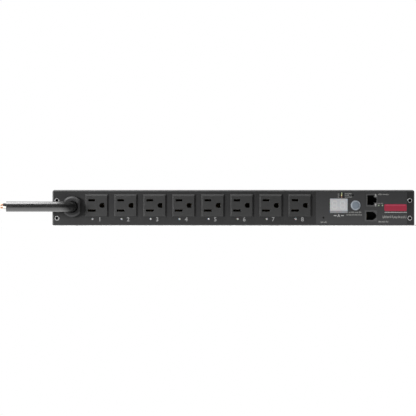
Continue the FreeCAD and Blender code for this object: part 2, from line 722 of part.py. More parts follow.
def led_packages():
    """Surface-mounted LEDs behind every lens, on both front-facing boards."""
    places = [(LED_SIZE, INDICATOR_BOARD_Y, x + LED_X, LED_Z) for x in OUTLET_XS]
    places += [(SMALL_LED_SIZE, CONTROL_BOARD_Y, x, z) for x, z in lens_places()]
    return [box(around(x, width / 2), (board_y - thick, board_y), around(z, height / 2))
            for (width, thick, height), board_y, x, z in places]


# ---------------------------------------------------------------- supply cord
def cord_path(aside, up, tail):
    """The cord's line, or a core's line at an offset from it: along X in front of the panel,
    round the bend and in through the bushing, to the given Y. aside is outwards of the bend."""
    z = CORD_Z + up
    radius = CORD_BEND_R + aside
    turn = Vector(BUSH_X - CORD_BEND_R, CORD_Y + CORD_BEND_R, z)
    reach = radius / math.sqrt(2)
    bend_start = turn + Vector(0, -radius, 0)
    bend_end = turn + Vector(radius, 0, 0)
    start_x, end_y = tail
    return [
        Part.makeLine(Vector(start_x, bend_start.y, z), bend_start),
        Part.Arc(bend_start, turn + Vector(reach, -reach, 0), bend_end).toShape(),
        Part.makeLine(bend_end, Vector(bend_end.x, end_y, z)),
    ]


def cord_jacket():
    """Outer sheath of the three-core cord, cut square at its far end."""
    path = Part.Wire(cord_path(0, 0, (CORD_END_X, CORD_INNER_END)))
    return [sweep(CORD_R, path, CORD_BORE_R)]


def core_offset(index):
    """Where a core lies on its circle in the sheath."""
    angle = math.radians(90 + 120 * index)
    return CORE_CIRCLE_R * math.cos(angle), CORE_CIRCLE_R * math.sin(angle)


def core_route(name, start_x):
    """A core's whole route: through the sheath, past its waypoints and straight into its end."""
    index, waypoints, way, straight = CORES[name]
    aside, up = core_offset(index)
    edges = cord_path(aside, up, (start_x, CORD_INNER_END))
    end = edges[-1].valueAt(edges[-1].LastParameter)
    last = Vector(*waypoints[-1])
    edges.append(spline([tuple(end)] + waypoints, (0, 1, 0), way))
    edges.append(Part.makeLine(last, last + Vector(*way) * straight))
    return Part.Wire(edges)


# for each core: its place on the circle, where it goes past the sheath, the way it ends and
# the length of its straight end
CORES = {
    "line": (0, [(BUSH_X, -27.0, 24.4), (BUSH_X, CT_CENTRE[1] - 8, CT_CENTRE[2]),
                 (BUSH_X, CT_CENTRE[1] + 8, CT_CENTRE[2]), (-194.0, 32.0, 15.8),
                 (BLOCK_X[0] - 6, LINE_ENTRY_Y, BLOCK_ENTRY_Z)], (1, 0, 0), 9.0),
    "ground": (1, [(-203.5, -27.0, 20.6), (-211.0, -12.0, 14.0), (-213.5, 0.0, 8.5),
                   (STUD_XY[0], STUD_XY[1] - 13.5, CRIMP_Z)], (0, 1, 0), 6.0),
    "neutral": (2, [(-194.5, -27.0, 20.8), (-187.5, -12.0, 18.0), (-186.0, 2.0, 17.0),
                    (-190.0, 18.0, 15.8), (BLOCK_X[0] - 4, NEUTRAL_ENTRY_Y, BLOCK_ENTRY_Z)], (1, 0, 0), 7.0),
}


def core(name):
    """One insulated core, bared at both ends."""
    return [sweep(CORE_R, core_route(name, CORD_END_X - 4), CORE_COPPER_R + THREAD_CLEAR)]


def core_copper():
    """The three cores' conductors, standing out of the insulation where the cord is cut."""
    return [sweep(CORE_COPPER_R, core_route(name, CORD_END_X - 7)) for name in CORES]


def strain_relief_body():
    """Nylon bushing that snaps into the panel, slotted above the cord for its clamp."""
    head = bushing_outline(BUSH_R, BUSH_FLAT, (FRONT - BUSH_HEAD, FRONT))
    head = head.makeChamfer(BUSH_CHAMFER, front_edges(head, FRONT - BUSH_HEAD))
    neck = bushing_outline(BUSH_NECK_R, BUSH_NECK_FLAT, (FRONT, BUSH_NECK_END))
    catch_y = (FRONT + SHEET + CLEAR, BUSH_CATCH_END)
    catches = bushing_outline(BUSH_CATCH_R, BUSH_NECK_FLAT, catch_y)
    catches = catches.cut(box(around(BUSH_X, BUSH_R), catch_y, around(CORD_Z, BUSH_CATCH_GAP)))
    body = fuse([head, neck, catches])
    half_w, half_h, corner_r = BUSH_OPENING
    opening = rounded_plate_y(around(BUSH_X, half_w), around(CORD_Z, half_h), corner_r,
                              (FRONT - BUSH_HEAD - 1, FRONT + 1))
    flare = Part.makeCone(*BUSH_FLARE, Vector(BUSH_X, FRONT - BUSH_HEAD - 0.2, CORD_Z), Vector(0, 1, 0))
    bore = rod_y(BUSH_X, CORD_Z, CORD_R + THREAD_CLEAR, (FRONT, BUSH_NECK_END + 1))
    clamp_slot = box(around(BUSH_X, CLAMP_HALF_W + CLEAR), (CLAMP_START, BUSH_NECK_END + 1),
                     (CORD_Z, CORD_Z + BUSH_R + 1))
    return [cut(body, [opening, flare, bore, clamp_slot])]


def strain_relief_clamp():
    """Wedge that the bushing presses on the sheath."""
    block = box(around(BUSH_X, CLAMP_HALF_W), (CLAMP_START + CLEAR, BUSH_NECK_END),
                (CORD_Z, CORD_Z + CLAMP_TOP))
    return [block.cut(rod_y(BUSH_X, CORD_Z, CORD_R + THREAD_CLEAR, (FRONT, BUSH_NECK_END + 1)))]


def ground_stud():
    x, y = STUD_XY
    base_r, base_h = STUD_BASE
    return [fuse([rod_z(x, y, base_r, (SHEET, SHEET + base_h)), rod_z(x, y, STUD_R, (SHEET, STUD_TOP))])]


def ground_terminal():
    """Crimped ring terminal on the ground core."""
    x, y = STUD_XY
    bottom = SHEET + STUD_BASE[1]
    zs = (bottom, bottom + RING_T)
    ring = fuse([rod_z(x, y, RING_R, zs), box(around(x, RING_NECK_HALF), (CRIMP_Y[0] + 2, y), zs),
                 rod_y(x, CRIMP_Z, CRIMP_R, CRIMP_Y)])
    barrel = rod_y(x, CRIMP_Z, CORE_R + THREAD_CLEAR, (CRIMP_Y[0] - 1, CRIMP_Y[1] + 0.5))
    return [cut(ring, [rod_z(x, y, RING_BORE_R, (0, STUD_TOP)), barrel])]


def ground_nut():
    x, y = STUD_XY
    bottom = SHEET + STUD_BASE[1] + RING_T
    return [hex_z(x, y, NUT_FLATS, (bottom, bottom + NUT_H)).cut(rod_z(x, y, NUT_BORE_R, (0, STUD_TOP)))]


# ---------------------------------------------------------------- relay board
def standoff_places():
    return [(x, y) for x in STANDOFF_XS for y in STANDOFF_YS]


def insulator_sheet():
    """Fibre sheet between the chassis floor and the relay board."""
    xs = (RELAY_BOARD_X[0] - FIBRE_MARGIN, RELAY_BOARD_X[1] + FIBRE_MARGIN)
    ys = (RELAY_BOARD_Y[0] - FIBRE_MARGIN, RELAY_BOARD_Y[1] + FIBRE_MARGIN)
    sheet = box(xs, ys, (SHEET, SHEET + FIBRE_T))
    return [cut(sheet, [rod_z(x, y, FIBRE_HOLE_R, (0, BOARD_Z)) for x, y in standoff_places()])]


def relay_board():
    """Power board with the header for the ribbon cable."""
    plate = box(RELAY_BOARD_X, RELAY_BOARD_Y, (BOARD_Z, BOARD_TOP))
    plate = cut(plate, [rod_z(x, y, M3_R + CLEAR, (0, 2 * BOARD_TOP)) for x, y in standoff_places()])
    header = box(around(RIBBON_X, HEADER_HALF_W), around(RIBBON_Y, HEADER_HALF_H),
                 (BOARD_TOP, BOARD_TOP + HEADER_T))
    return [fuse([plate, header])]


def board_standoffs():
    """Hexagonal pillars pressed into the floor."""
    return [hex_z(x, y, STANDOFF_FLATS, (SHEET, BOARD_Z)).cut(rod_z(x, y, M3_R, (0, 2 * BOARD_Z)))
            for x, y in standoff_places()]


def board_screws():
    """Pan-head screws of both boards: down into the pillars, and forward into the posts."""
    made = []
    for x, y in standoff_places():
        made.append(fuse([rod_z(x, y, PAN_HEAD_R, (BOARD_TOP, BOARD_TOP + PAN_HEAD_H)),
                          rod_z(x, y, M3_R - THREAD_CLEAR, (BOARD_TOP - PAN_SCREW_LENGTH, BOARD_TOP))]))
    back = CONTROL_BOARD_Y + BOARD_T
    for x, z in POST_XZS:
        made.append(fuse([rod_y(x, z, PAN_HEAD_R, (back, back + PAN_HEAD_H)),
                          rod_y(x, z, M3_R - THREAD_CLEAR, (back - PAN_SCREW_LENGTH, back))]))
    return made


def outlet_relays():
    """Sealed relays, one behind each outlet."""
    return [box(around(x, RELAY_W / 2), RELAY_Y, (BOARD_TOP, RELAY_TOP)) for x in OUTLET_XS]


def terminal_block():
    """Supply terminals: two side entries with a clamp screw over each."""
    block = box(BLOCK_X, BLOCK_Y, (BOARD_TOP, BOARD_TOP + BLOCK_H))
    tools = []
    for y in (LINE_ENTRY_Y, NEUTRAL_ENTRY_Y):
        tools.append(rod_x(y, BLOCK_ENTRY_Z, CORE_R + CLEAR, (BLOCK_X[0] - 1, BLOCK_X[0] + ENTRY_DEPTH)))
        tools.append(rod_z(CLAMP_X, y, CLAMP_WELL_R, (BLOCK_ENTRY_Z, BOARD_TOP + BLOCK_H + 1)))
    return [cut(block, tools)]


def terminal_screws():
    """Slotted clamp screws of the supply terminals."""
    made = []
    for y in (LINE_ENTRY_Y, NEUTRAL_ENTRY_Y):
        zs = (BLOCK_ENTRY_Z + CORE_R + THREAD_CLEAR, BOARD_TOP + BLOCK_H - 0.5)
        half_length, half_width, depth = CLAMP_SLOT
        slot = box(around(CLAMP_X, half_length), around(y, half_width), (zs[1] - depth, zs[1] + 1))
        made.append(rod_z(CLAMP_X, y, CLAMP_SCREW_R, zs).cut(slot))
    return made


def current_transformer():
    """Ring-shaped current sensor on a foot, around the line core."""
    x, y, z = CT_CENTRE
    ys = around(y, CT_T / 2)
    body = fuse([rod_y(x, z, CT_R, ys), box(around(x, CT_R), ys, (SHEET, CT_FOOT_TOP))])
    return [body.cut(rod_y(x, z, CT_BORE_R, around(y, CT_T)))]


def power_transformer():
    """Laminated core with its bobbin standing out at both sides."""
    core_xs, core_ys, core_h = CORE_BLOCK
    xs, ys, heights, corner_r = BOBBIN
    iron = box(core_xs, core_ys, (BOARD_TOP, BOARD_TOP + core_h))
    bobbin = rounded_plate_y(xs, (BOARD_TOP + heights[0], BOARD_TOP + heights[1]), corner_r, ys)
    return [fuse([iron, bobbin])]


def filter_capacitors():
    """Electrolytic capacitors of the low-voltage supply."""
    return [rod_z(x, CAPACITOR_Y, CAPACITOR_R, (BOARD_TOP, BOARD_TOP + CAPACITOR_H)) for x in CAPACITOR_XS]


# ---------------------------------------------------------------- control section
def control_board():
    """Upright circuit board behind the overlay, with the ribbon's header at its back."""
    ys = (CONTROL_BOARD_Y, CONTROL_BOARD_Y + BOARD_T)
    plate = box(CONTROL_BOARD_X, ys, CONTROL_BOARD_Z)
    plate = cut(plate, [rod_y(x, z, M3_R + CLEAR, (ys[0] - 1, ys[1] + 1)) for x, z in POST_XZS])
    header = box(around(RIBBON_X, HEADER_HALF_W), (ys[1], ys[1] + HEADER_T), around(RIBBON_Z, HEADER_HALF_H))
    return [fuse([plate, header])]


def control_board_posts():
    """Threaded posts welded behind the panel to carry the control board."""
    ys = (FRONT + SHEET, CONTROL_BOARD_Y)
    thread = (ys[1] - POST_THREAD, ys[1] + 1)
    return [rod_y(x, z, POST_R, ys).cut(rod_y(x, z, M3_R, thread)) for x, z in POST_XZS]


def display_window():
    """Pale diffusing window over the two digits, flush with the overlay."""
    return [rounded_plate_y(DISPLAY_X, DISPLAY_Z, DISPLAY_CORNER_R,
                            (FRONT - OVERLAY_T - DISPLAY_PROUD, FRONT + SHEET))]


def display_module():
    """Two-digit display on its socket."""
    start = FRONT + SHEET + CLEAR
    body = box((DISPLAY_X[0] + MODULE_INSET, DISPLAY_X[1] - MODULE_INSET), (start, start + MODULE_T),
               (DISPLAY_Z[0] + MODULE_INSET, DISPLAY_Z[1] - MODULE_INSET))
    side, end = SOCKET_INSET
    socket = box((DISPLAY_X[0] + side, DISPLAY_X[1] - side), (start + MODULE_T, CONTROL_BOARD_Y),
                 (DISPLAY_Z[0] + end, DISPLAY_Z[1] - end))
    return [fuse([body, socket])]


def status_lenses():
    """Thin light pipes of the load, sensor and link indicators."""
    ys = (FRONT - OVERLAY_T - STATUS_LENS_PROUD, CONTROL_BOARD_Y - SMALL_LED_SIZE[1] - THREAD_CLEAR)
    return [rod_y(x, z, STATUS_LENS_R, ys) for x, z in lens_places()]


def button_bezel():
    """Pale ring that guides the select button."""
    ys = (FRONT - OVERLAY_T - BEZEL_PROUD, FRONT - OVERLAY_T)
    ring = rod_y(BUTTON_X, BUTTON_Z, BEZEL_R, ys)
    ring = ring.makeFillet(BEZEL_EDGE_R, front_edges(ring, ys[0]))
    sleeve = rod_y(BUTTON_X, BUTTON_Z, BEZEL_SLEEVE_R, (ys[1], BEZEL_END))
    bore = rod_y(BUTTON_X, BUTTON_Z, BEZEL_BORE_R, (ys[0] - 1, BEZEL_END + 1))
    return [fuse([ring, sleeve]).cut(bore)]


def select_button():
    """Round cap with a retaining collar and the stem that works its switch."""
    front = FRONT - OVERLAY_T - BUTTON_PROUD
    collar = BEZEL_END + THREAD_CLEAR
    cap = rod_y(BUTTON_X, BUTTON_Z, BUTTON_R, (front, collar))
    cap = cap.makeFillet(BUTTON_EDGE_R, front_edges(cap, front))
    return [fuse([cap, rod_y(BUTTON_X, BUTTON_Z, BEZEL_SLEEVE_R, (collar, collar + COLLAR_T)),
                  rod_y(BUTTON_X, BUTTON_Z, BUTTON_STEM_R, (collar, STEM_END))])]


def switch_body(x, z, plunger_r):
    """Square push switch on the control board, with the well its plunger moves in."""
    ys = (CONTROL_BOARD_Y - SWITCH_H, CONTROL_BOARD_Y)
    well = rod_y(x, z, plunger_r + THREAD_CLEAR, (ys[0] - 1, ys[0] + SWITCH_WELL))
    return [box(around(x, SWITCH_SIDE / 2), ys, around(z, SWITCH_SIDE / 2)).cut(well)]


def plunger_end(travel):
    """Where a switch's plunger ends in its well at rest."""
    return CONTROL_BOARD_Y - SWITCH_H + SWITCH_WELL - travel - OVERTRAVEL


def select_switch_plunger():
    """Plunger that the button's stem pushes."""
    ys = (STEM_END + 0.02, plunger_end(BUTTON_TRAVEL))
    return [rod_y(BUTTON_X, BUTTON_Z, BUTTON_STEM_R, ys)]


def reset_switch_plunger():
    """Plunger reached through the pinhole with a straightened clip."""
    ys = (CONTROL_BOARD_Y - RESET_PLUNGER_LENGTH, plunger_end(RESET_TRAVEL))
    return [rod_y(RESET_X, RESET_Z, RESET_PLUNGER_R, ys)]


def network_jack():
    """Eight-way jack: plug opening, latch notch and two windows beside the latch."""
    middle = sum(NETWORK_Z) / 2
    body = box(NETWORK_X, (FRONT, CONTROL_BOARD_Y), NETWORK_Z)
    ys = (FRONT - 1, FRONT + JACK_CAVITY_DEPTH)
    tools = [box(NETWORK_CAVITY_X, ys, around(middle, NETWORK_CAVITY_H / 2)),
             box((NETWORK_CAVITY_X[0] + JACK_NOTCH_START, NETWORK_LATCH_X), ys,
                 around(middle, NETWORK_LATCH_H / 2))]
    tools += [box((JACK_LED_X[0] - JACK_LED_GAP, JACK_LED_X[1] + JACK_LED_GAP),
                  (FRONT - 1, FRONT + JACK_LED_DEPTH + JACK_LED_GAP), zs)
              for zs in jack_led_spans(JACK_LED_GAP)]
    return [cut(body, tools)]


def jack_led_spans(grow):
    """Heights of the two windows, above and below the latch notch."""
    middle = sum(NETWORK_Z) / 2
    offset = (NETWORK_LATCH_H + JACK_LED_H) / 2 + JACK_LED_RISE
    return [around(middle + side * offset, JACK_LED_H / 2 + grow) for side in (-1, 1)]


def jack_leds():
    """Milky windows of the network jack's two indicators."""
    return [box(JACK_LED_X, (FRONT - 0.02, FRONT + JACK_LED_DEPTH), zs) for zs in jack_led_spans(0)]


def serial_jack():
    """Six-way jack, its notch stepping in towards the latch."""
    middle = sum(SERIAL_Z) / 2
    ys = (FRONT - 1, FRONT + JACK_CAVITY_DEPTH)
    opening = [box(SERIAL_CAVITY_X, ys, around(middle, SERIAL_CAVITY_H / 2))]
    opening += [box((SERIAL_CAVITY_X[0] + JACK_NOTCH_START, far_x), ys, around(middle, height / 2))
                for far_x, height in SERIAL_NOTCH]
    return [cut(box(SERIAL_X, (FRONT, CONTROL_BOARD_Y), SERIAL_Z), opening)]


def jack_contacts():
    """Spring wires along the left wall of each jack's opening."""
    made = []
    ys = (FRONT + 2.0, FRONT + JACK_CAVITY_DEPTH)
    near, far, height = JACK_WIRE
    for count, cavity, zs in ((8, NETWORK_CAVITY_X, NETWORK_Z), (6, SERIAL_CAVITY_X, SERIAL_Z)):
        middle = sum(zs) / 2
        for i in range(count):
            z = middle + JACK_WIRE_PITCH * (i - (count - 1) / 2)
            made.append(box((cavity[0] + near, cavity[0] + far), ys, around(z, height / 2)))
    return made


def processor_chips():
    """Flat packages on the back of the control board."""
    back = CONTROL_BOARD_Y + BOARD_T
    return [box(around(x, side / 2), (back, back + CHIP_T), around(z, side / 2)) for x, z, side in CHIPS]


def ribbon_cable():
    """Flat cable with a moulded socket at each end, from the relay board to the control board."""
    xs = around(RIBBON_X, RIBBON_W / 2)
    half_w, half_h, depth = RIBBON_SOCKET
    lower = BOARD_TOP + HEADER_T
    upper = CONTROL_BOARD_Y + BOARD_T + HEADER_T
    sockets = [box(around(RIBBON_X, half_w), around(RIBBON_Y, half_h), (lower, lower + depth)),
               box(around(RIBBON_X, half_w), (upper, upper + depth), around(RIBBON_Z, half_h))]
    half = RIBBON_T / 2
    turn = Vector(RIBBON_X, RIBBON_Y - RIBBON_BEND, RIBBON_Z - RIBBON_BEND)
    outer = rod_x(turn.y, turn.z, RIBBON_BEND + half, xs)
    corner = outer.cut(rod_x(turn.y, turn.z, RIBBON_BEND - half, xs))
    reach = RIBBON_BEND + half
    corner = corner.common(box(xs, (turn.y, turn.y + reach), (turn.z, turn.z + reach)))
    legs = [box(xs, around(RIBBON_Y, half), (lower + depth - 1, turn.z)),
            box(xs, (upper + depth - 1, turn.y), around(RIBBON_Z, half))]
    return [fuse(sockets + [corner] + legs)]


NODES = {
    "chassis_base": chassis_base,
    "top_cover": top_cover,
    "cover_screws": cover_screws,
    "front_inserts": front_inserts,
    "ear_nuts": ear_nuts,
    "control_overlay": control_overlay,
    "outlet_rear_covers": outlet_rear_covers,
    "blade_contacts": blade_contacts,
    "ground_contacts": ground_contacts,
    "neutral_bus": neutral_bus,
    "ground_bus": ground_bus,
    "line_leads": line_leads,
    "indicator_board": indicator_board,
    "indicator_lenses": indicator_lenses,
    "led_packages": led_packages,
    "strain_relief_body": strain_relief_body,
    "strain_relief_clamp": strain_relief_clamp,
    "cord_jacket": cord_jacket,
    "line_core": lambda: core("line"),
    "neutral_core": lambda: core("neutral"),
    "ground_core": lambda: core("ground"),
    "core_copper": core_copper,
    "ground_stud": ground_stud,
    "ground_terminal": ground_terminal,
    "ground_nut": ground_nut,
    "insulator_sheet": insulator_sheet,
    "relay_board": relay_board,
    "board_standoffs": board_standoffs,
    "board_screws": board_screws,
    "outlet_relays": outlet_relays,
    "terminal_block": terminal_block,
    "terminal_screws": terminal_screws,
    "current_transformer": current_transformer,
    "power_transformer": power_transformer,
    "filter_capacitors": filter_capacitors,
    "control_board": control_board,
    "control_board_posts": control_board_posts,
    "display_window": display_window,
    "display_module": display_module,
    "status_lenses": status_lenses,
    "button_bezel": button_bezel,
    "select_button": select_button,
    "select_switch_body": lambda: switch_body(BUTTON_X, BUTTON_Z, BUTTON_STEM_R),
    "select_switch_plunger": select_switch_plunger,
    "reset_switch_body": lambda: switch_body(RESET_X, RESET_Z, RESET_PLUNGER_R),
    "reset_switch_plunger": reset_switch_plunger,
    "network_jack": network_jack,
    "serial_jack": serial_jack,
    "jack_contacts": jack_contacts,
    "jack_leds": jack_leds,
    "processor_chips": processor_chips,
    "ribbon_cable": ribbon_cable,
}
for number, centre_x in enumerate(OUTLET_XS, 1):
    NODES[f"outlet_{number}"] = lambda x=centre_x: outlet_housing(x)

os.makedirs("parts", exist_ok=True)
for node_name, maker in NODES.items():
    write(node_name, maker())
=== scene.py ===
import json
import math
import random

import bmesh
import bpy
from mathutils import Matrix, Vector


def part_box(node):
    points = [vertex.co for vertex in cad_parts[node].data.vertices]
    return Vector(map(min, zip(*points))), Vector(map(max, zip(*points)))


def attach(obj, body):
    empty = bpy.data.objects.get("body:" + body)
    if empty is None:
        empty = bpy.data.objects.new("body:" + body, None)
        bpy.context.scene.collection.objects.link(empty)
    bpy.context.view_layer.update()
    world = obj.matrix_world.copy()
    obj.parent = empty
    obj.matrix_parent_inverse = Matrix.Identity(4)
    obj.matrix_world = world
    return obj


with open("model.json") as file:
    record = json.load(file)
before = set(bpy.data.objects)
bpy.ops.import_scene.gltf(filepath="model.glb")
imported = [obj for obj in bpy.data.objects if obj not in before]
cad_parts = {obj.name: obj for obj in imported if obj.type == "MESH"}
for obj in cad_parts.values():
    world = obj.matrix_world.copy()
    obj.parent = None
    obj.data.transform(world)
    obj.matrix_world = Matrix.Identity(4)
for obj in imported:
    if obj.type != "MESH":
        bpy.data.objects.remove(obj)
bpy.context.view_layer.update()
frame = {"nodes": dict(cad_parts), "record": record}

# A horizontal rack power strip. X runs to the right along its front, Y runs from the front to the
# rear and Z is up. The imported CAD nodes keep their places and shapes; this script gives them their
# materials and adds the printing, the display's digits and the copper at the cord's cut end.

MM = 0.001
NODES = frame["nodes"]


# ---------------------------------------------------------------- places, all from the frame
def middle(node):
    """The centre of a CAD node's box."""
    low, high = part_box(node)
    return (low + high) / 2


OUTLET_PREFIX = "outlet_"
BODY_LOW, BODY_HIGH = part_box("chassis_base")
PANEL_Y = BODY_LOW.y
BODY_MID_Z = (BODY_LOW.z + BODY_HIGH.z) / 2
FILM_LOW, FILM_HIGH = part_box("control_overlay")
FILM_Y = FILM_LOW.y
STATUS_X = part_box("status_lenses")[0].x
OUTLETS = sorted(n for n in NODES if n.startswith(OUTLET_PREFIX) and n[len(OUTLET_PREFIX):].isdigit())


def at(z_mm):
    """A height given in millimetres from the middle of the front panel."""
    return BODY_MID_Z + z_mm * MM


# ---------------------------------------------------------------- shader building
class Shader:
    """One material's node tree. Textures are laid out in the row's own metres."""

    def __init__(self, name, roughness=0.5, metallic=0.0, specular=0.5):
        self.material = bpy.data.materials.new(name)
        self.material.use_nodes = True
        self.tree = self.material.node_tree
        self.surface = self.tree.nodes["Principled BSDF"]
        self.set(self.surface, "Roughness", roughness)
        self.set(self.surface, "Metallic", metallic)
        self.set(self.surface, "Specular IOR Level", specular)
        self.place = self.node("ShaderNodeTexCoord").outputs["Object"]

    def node(self, kind, **settings):
        made = self.tree.nodes.new(kind)
        for key, value in settings.items():
            setattr(made, key, value)
        return made

    def set(self, node, socket, value):
        """Give an input a number, a colour or another node's output."""
        target = node.inputs[socket]
        if isinstance(value, bpy.types.NodeSocket):
            self.tree.links.new(value, target)
        elif isinstance(value, (tuple, list)) and len(value) == 3 and len(target.default_value) == 4:
            target.default_value = (*value, 1.0)
        else:
            target.default_value = value

    def stretched(self, scale):
        """Object coordinates scaled by axis, for grain that runs one way."""
        mapping = self.node("ShaderNodeMapping")
        self.set(mapping, "Vector", self.place)
        self.set(mapping, "Scale", scale)
        return mapping.outputs[0]

    def noise(self, size_mm, detail=3.0, rough=0.5, place=None, distort=0.0):
        """Noise whose cells are about the size given."""
        made = self.node("ShaderNodeTexNoise")
        self.set(made, "Vector", place or self.place)
        self.set(made, "Scale", 1000.0 / size_mm)
        self.set(made, "Detail", detail)
        self.set(made, "Roughness", rough)
        self.set(made, "Distortion", distort)
        return made.outputs["Fac"]

    def remap(self, value, low, high, to_low=0.0, to_high=1.0):
        """Map low to to_low and high to to_high, and hold the ends beyond them."""
        made = self.node("ShaderNodeMapRange")
        for socket, number in (("Value", value), ("From Min", low), ("From Max", high),
                               ("To Min", to_low), ("To Max", to_high)):
            self.set(made, socket, number)
        return made.outputs[0]

    def math(self, operation, a, b=0.0):
        made = self.node("ShaderNodeMath", operation=operation)
        self.set(made, 0, a)
        self.set(made, 1, b)
        return made.outputs[0]

    def mix(self, factor, a, b):
        """Colour a where the factor is 0 and colour b where it is 1."""
        made = self.node("ShaderNodeMix", data_type="RGBA")
        self.set(made, 0, factor)
        self.set(made, 6, a)
        self.set(made, 7, b)
        return made.outputs[2]

    def mix_numbers(self, factor, a, b):
        made = self.node("ShaderNodeMix", data_type="FLOAT")
        self.set(made, 0, factor)
        self.set(made, 2, a)
        self.set(made, 3, b)
        return made.outputs[0]

    def axis(self, name):
        """One of the row's coordinates, in metres."""
        split = self.node("ShaderNodeSeparateXYZ")
        self.set(split, 0, self.place)
        return split.outputs[name]

    def edges(self, radius_mm, low=0.90, high=0.995):
        """1 along sharp edges and 0 elsewhere, with the softened normal."""
        bevel = self.node("ShaderNodeBevel", samples=4)
        self.set(bevel, "Radius", radius_mm * MM)
        geometry = self.node("ShaderNodeNewGeometry")
        dot = self.node("ShaderNodeVectorMath", operation="DOT_PRODUCT")
        self.set(dot, 0, bevel.outputs[0])
        self.set(dot, 1, geometry.outputs["Normal"])
        return self.remap(dot.outputs["Value"], low, high, 1.0, 0.0), bevel.outputs[0]

    def bends(self):
        """1 where a surface turns between facing forwards and facing up, down or sideways."""
        straight = self.math("ABSOLUTE", self.facing("Y"))
        turned = self.math("SUBTRACT", 1.0, straight)
        return self.math("MULTIPLY", self.remap(turned, 0.01, 0.10), self.remap(straight, 0.05, 0.30))

    def closed_in(self, reach_mm, low=0.35, high=0.95):
        """1 in corners and hollows, 0 where the surface is open for the distance given."""
        made = self.node("ShaderNodeAmbientOcclusion", samples=6)
        self.set(made, "Distance", reach_mm * MM)
        return self.remap(made.outputs["AO"], low, high, 1.0, 0.0)

    def facing(self, axis_name):
        """How far the surface faces along an axis, -1 to 1."""
        split = self.node("ShaderNodeSeparateXYZ")
        self.set(split, 0, self.node("ShaderNodeNewGeometry").outputs["Normal"])
        return split.outputs[axis_name]

    def bump(self, height, depth_mm, strength=1.0, normal=None):
        """A normal raised by a height pattern, on top of another normal where one is given."""
        made = self.node("ShaderNodeBump")
        self.set(made, "Height", height)
        self.set(made, "Distance", depth_mm * MM)
        self.set(made, "Strength", strength)
        if normal:
            self.set(made, "Normal", normal)
        return made.outputs[0]

    def finish(self, colour=None, roughness=None, normal=None, **others):
        """Connect what was made to the surface. Other inputs are named with _ for a space."""
        for socket, value in (("Base Color", colour), ("Roughness", roughness), ("Normal", normal)):
            if value is not None:
                self.set(self.surface, socket, value)
        for socket, value in others.items():
            self.set(self.surface, socket.replace("_", " "), value)
        return self.material


# ---------------------------------------------------------------- materials
def powder_coat():
    """Black powder coat: orange-peel relief, a fine speckle and slow changes of shade."""
    s = Shader("powder_coat")
    cloud = s.noise(28, 3)
    speckle = s.noise(1.3, 4, 0.65)
    base = s.mix(s.remap(cloud, 0.3, 0.7), (0.0098, 0.0098, 0.0100), (0.0130, 0.0130, 0.0133))
    base = s.mix(s.remap(speckle, 0.42, 0.72, 0, 0.45), base, (0.026, 0.026, 0.027))
    # Sharp edges are drawn lighter: partly thinner coat, partly a painted highlight.
    edge, soft = s.edges(0.35)
    base = s.mix(s.math("MULTIPLY", edge, 0.35), base, (0.050, 0.050, 0.052))
    # Painted highlight: surfaces turning from the front towards the top, bottom or ends, such as the panel's
    # bends, are drawn much lighter.
    base = s.mix(s.math("MULTIPLY", s.bends(), 0.9), base, (0.100, 0.100, 0.101))
    # Painted shade: corners, and the panel beside raised parts within 9 mm, are drawn darker towards near
    # black.
    base = s.mix(s.math("MULTIPLY", s.closed_in(9), 0.55), base, (0.004, 0.004, 0.004))
    peel = s.noise(0.75, 3, 0.55)
    grain = s.bump(s.noise(0.22, 2), 0.006, 1.0, s.bump(peel, 0.030, 1.0, soft))
    return s.finish(base, s.remap(peel, 0.3, 0.7, 0.46, 0.60), grain)


def overlay_film():
    """Velvet polycarbonate film: even, a little lighter than the coat, with a very fine tooth."""
    s = Shader("overlay_film")
    tooth = s.noise(0.16, 2)
    base = s.mix(s.noise(22, 2), (0.033, 0.033, 0.034), (0.037, 0.037, 0.038))
    base = s.mix(s.remap(tooth, 0.45, 0.8, 0, 0.3), base, (0.048, 0.048, 0.049))
    return s.finish(base, s.remap(tooth, 0.3, 0.7, 0.40, 0.50), s.bump(tooth, 0.004))


def moulded(name, dark, light, roughness, tooth_mm=0.3, depth_mm=0.006, edge_wear_and_highlight=None, specular=0.5,
            painted_shade_reach_mm=0):
    """Moulded plastic: eroded tool texture, faint flow shading, edges drawn lighter, partly as rubbed wear
    and partly as a painted highlight, and, where a reach is given, painted shade in the hollows."""
    s = Shader(name, specular=specular)
    tooth = s.noise(tooth_mm, 3, 0.6)
    base = s.mix(s.remap(s.noise(9, 3, 0.5, distort=0.6), 0.3, 0.7), dark, light)
    edge, soft = s.edges(0.22)
    # Sharp edges take the lighter colour: partly rubbed wear, partly a painted highlight.
    if edge_wear_and_highlight:
        base = s.mix(s.math("MULTIPLY", edge, 0.3), base, edge_wear_and_highlight)
    # Painted shade: corners and hollows within the reach given are drawn near black.
    if painted_shade_reach_mm:
        base = s.mix(s.math("MULTIPLY", s.closed_in(painted_shade_reach_mm), 0.9), base, (0.002, 0.002, 0.002))
    rough = s.remap(s.noise(tooth_mm * 4, 2), 0.3, 0.7, roughness - 0.05, roughness + 0.06)
    return s.finish(base, rough, s.bump(tooth, depth_mm, 1.0, soft))


JACK_FACE_DEPTH = 0.8 * MM      # the jacks' front faces lie within this of the film


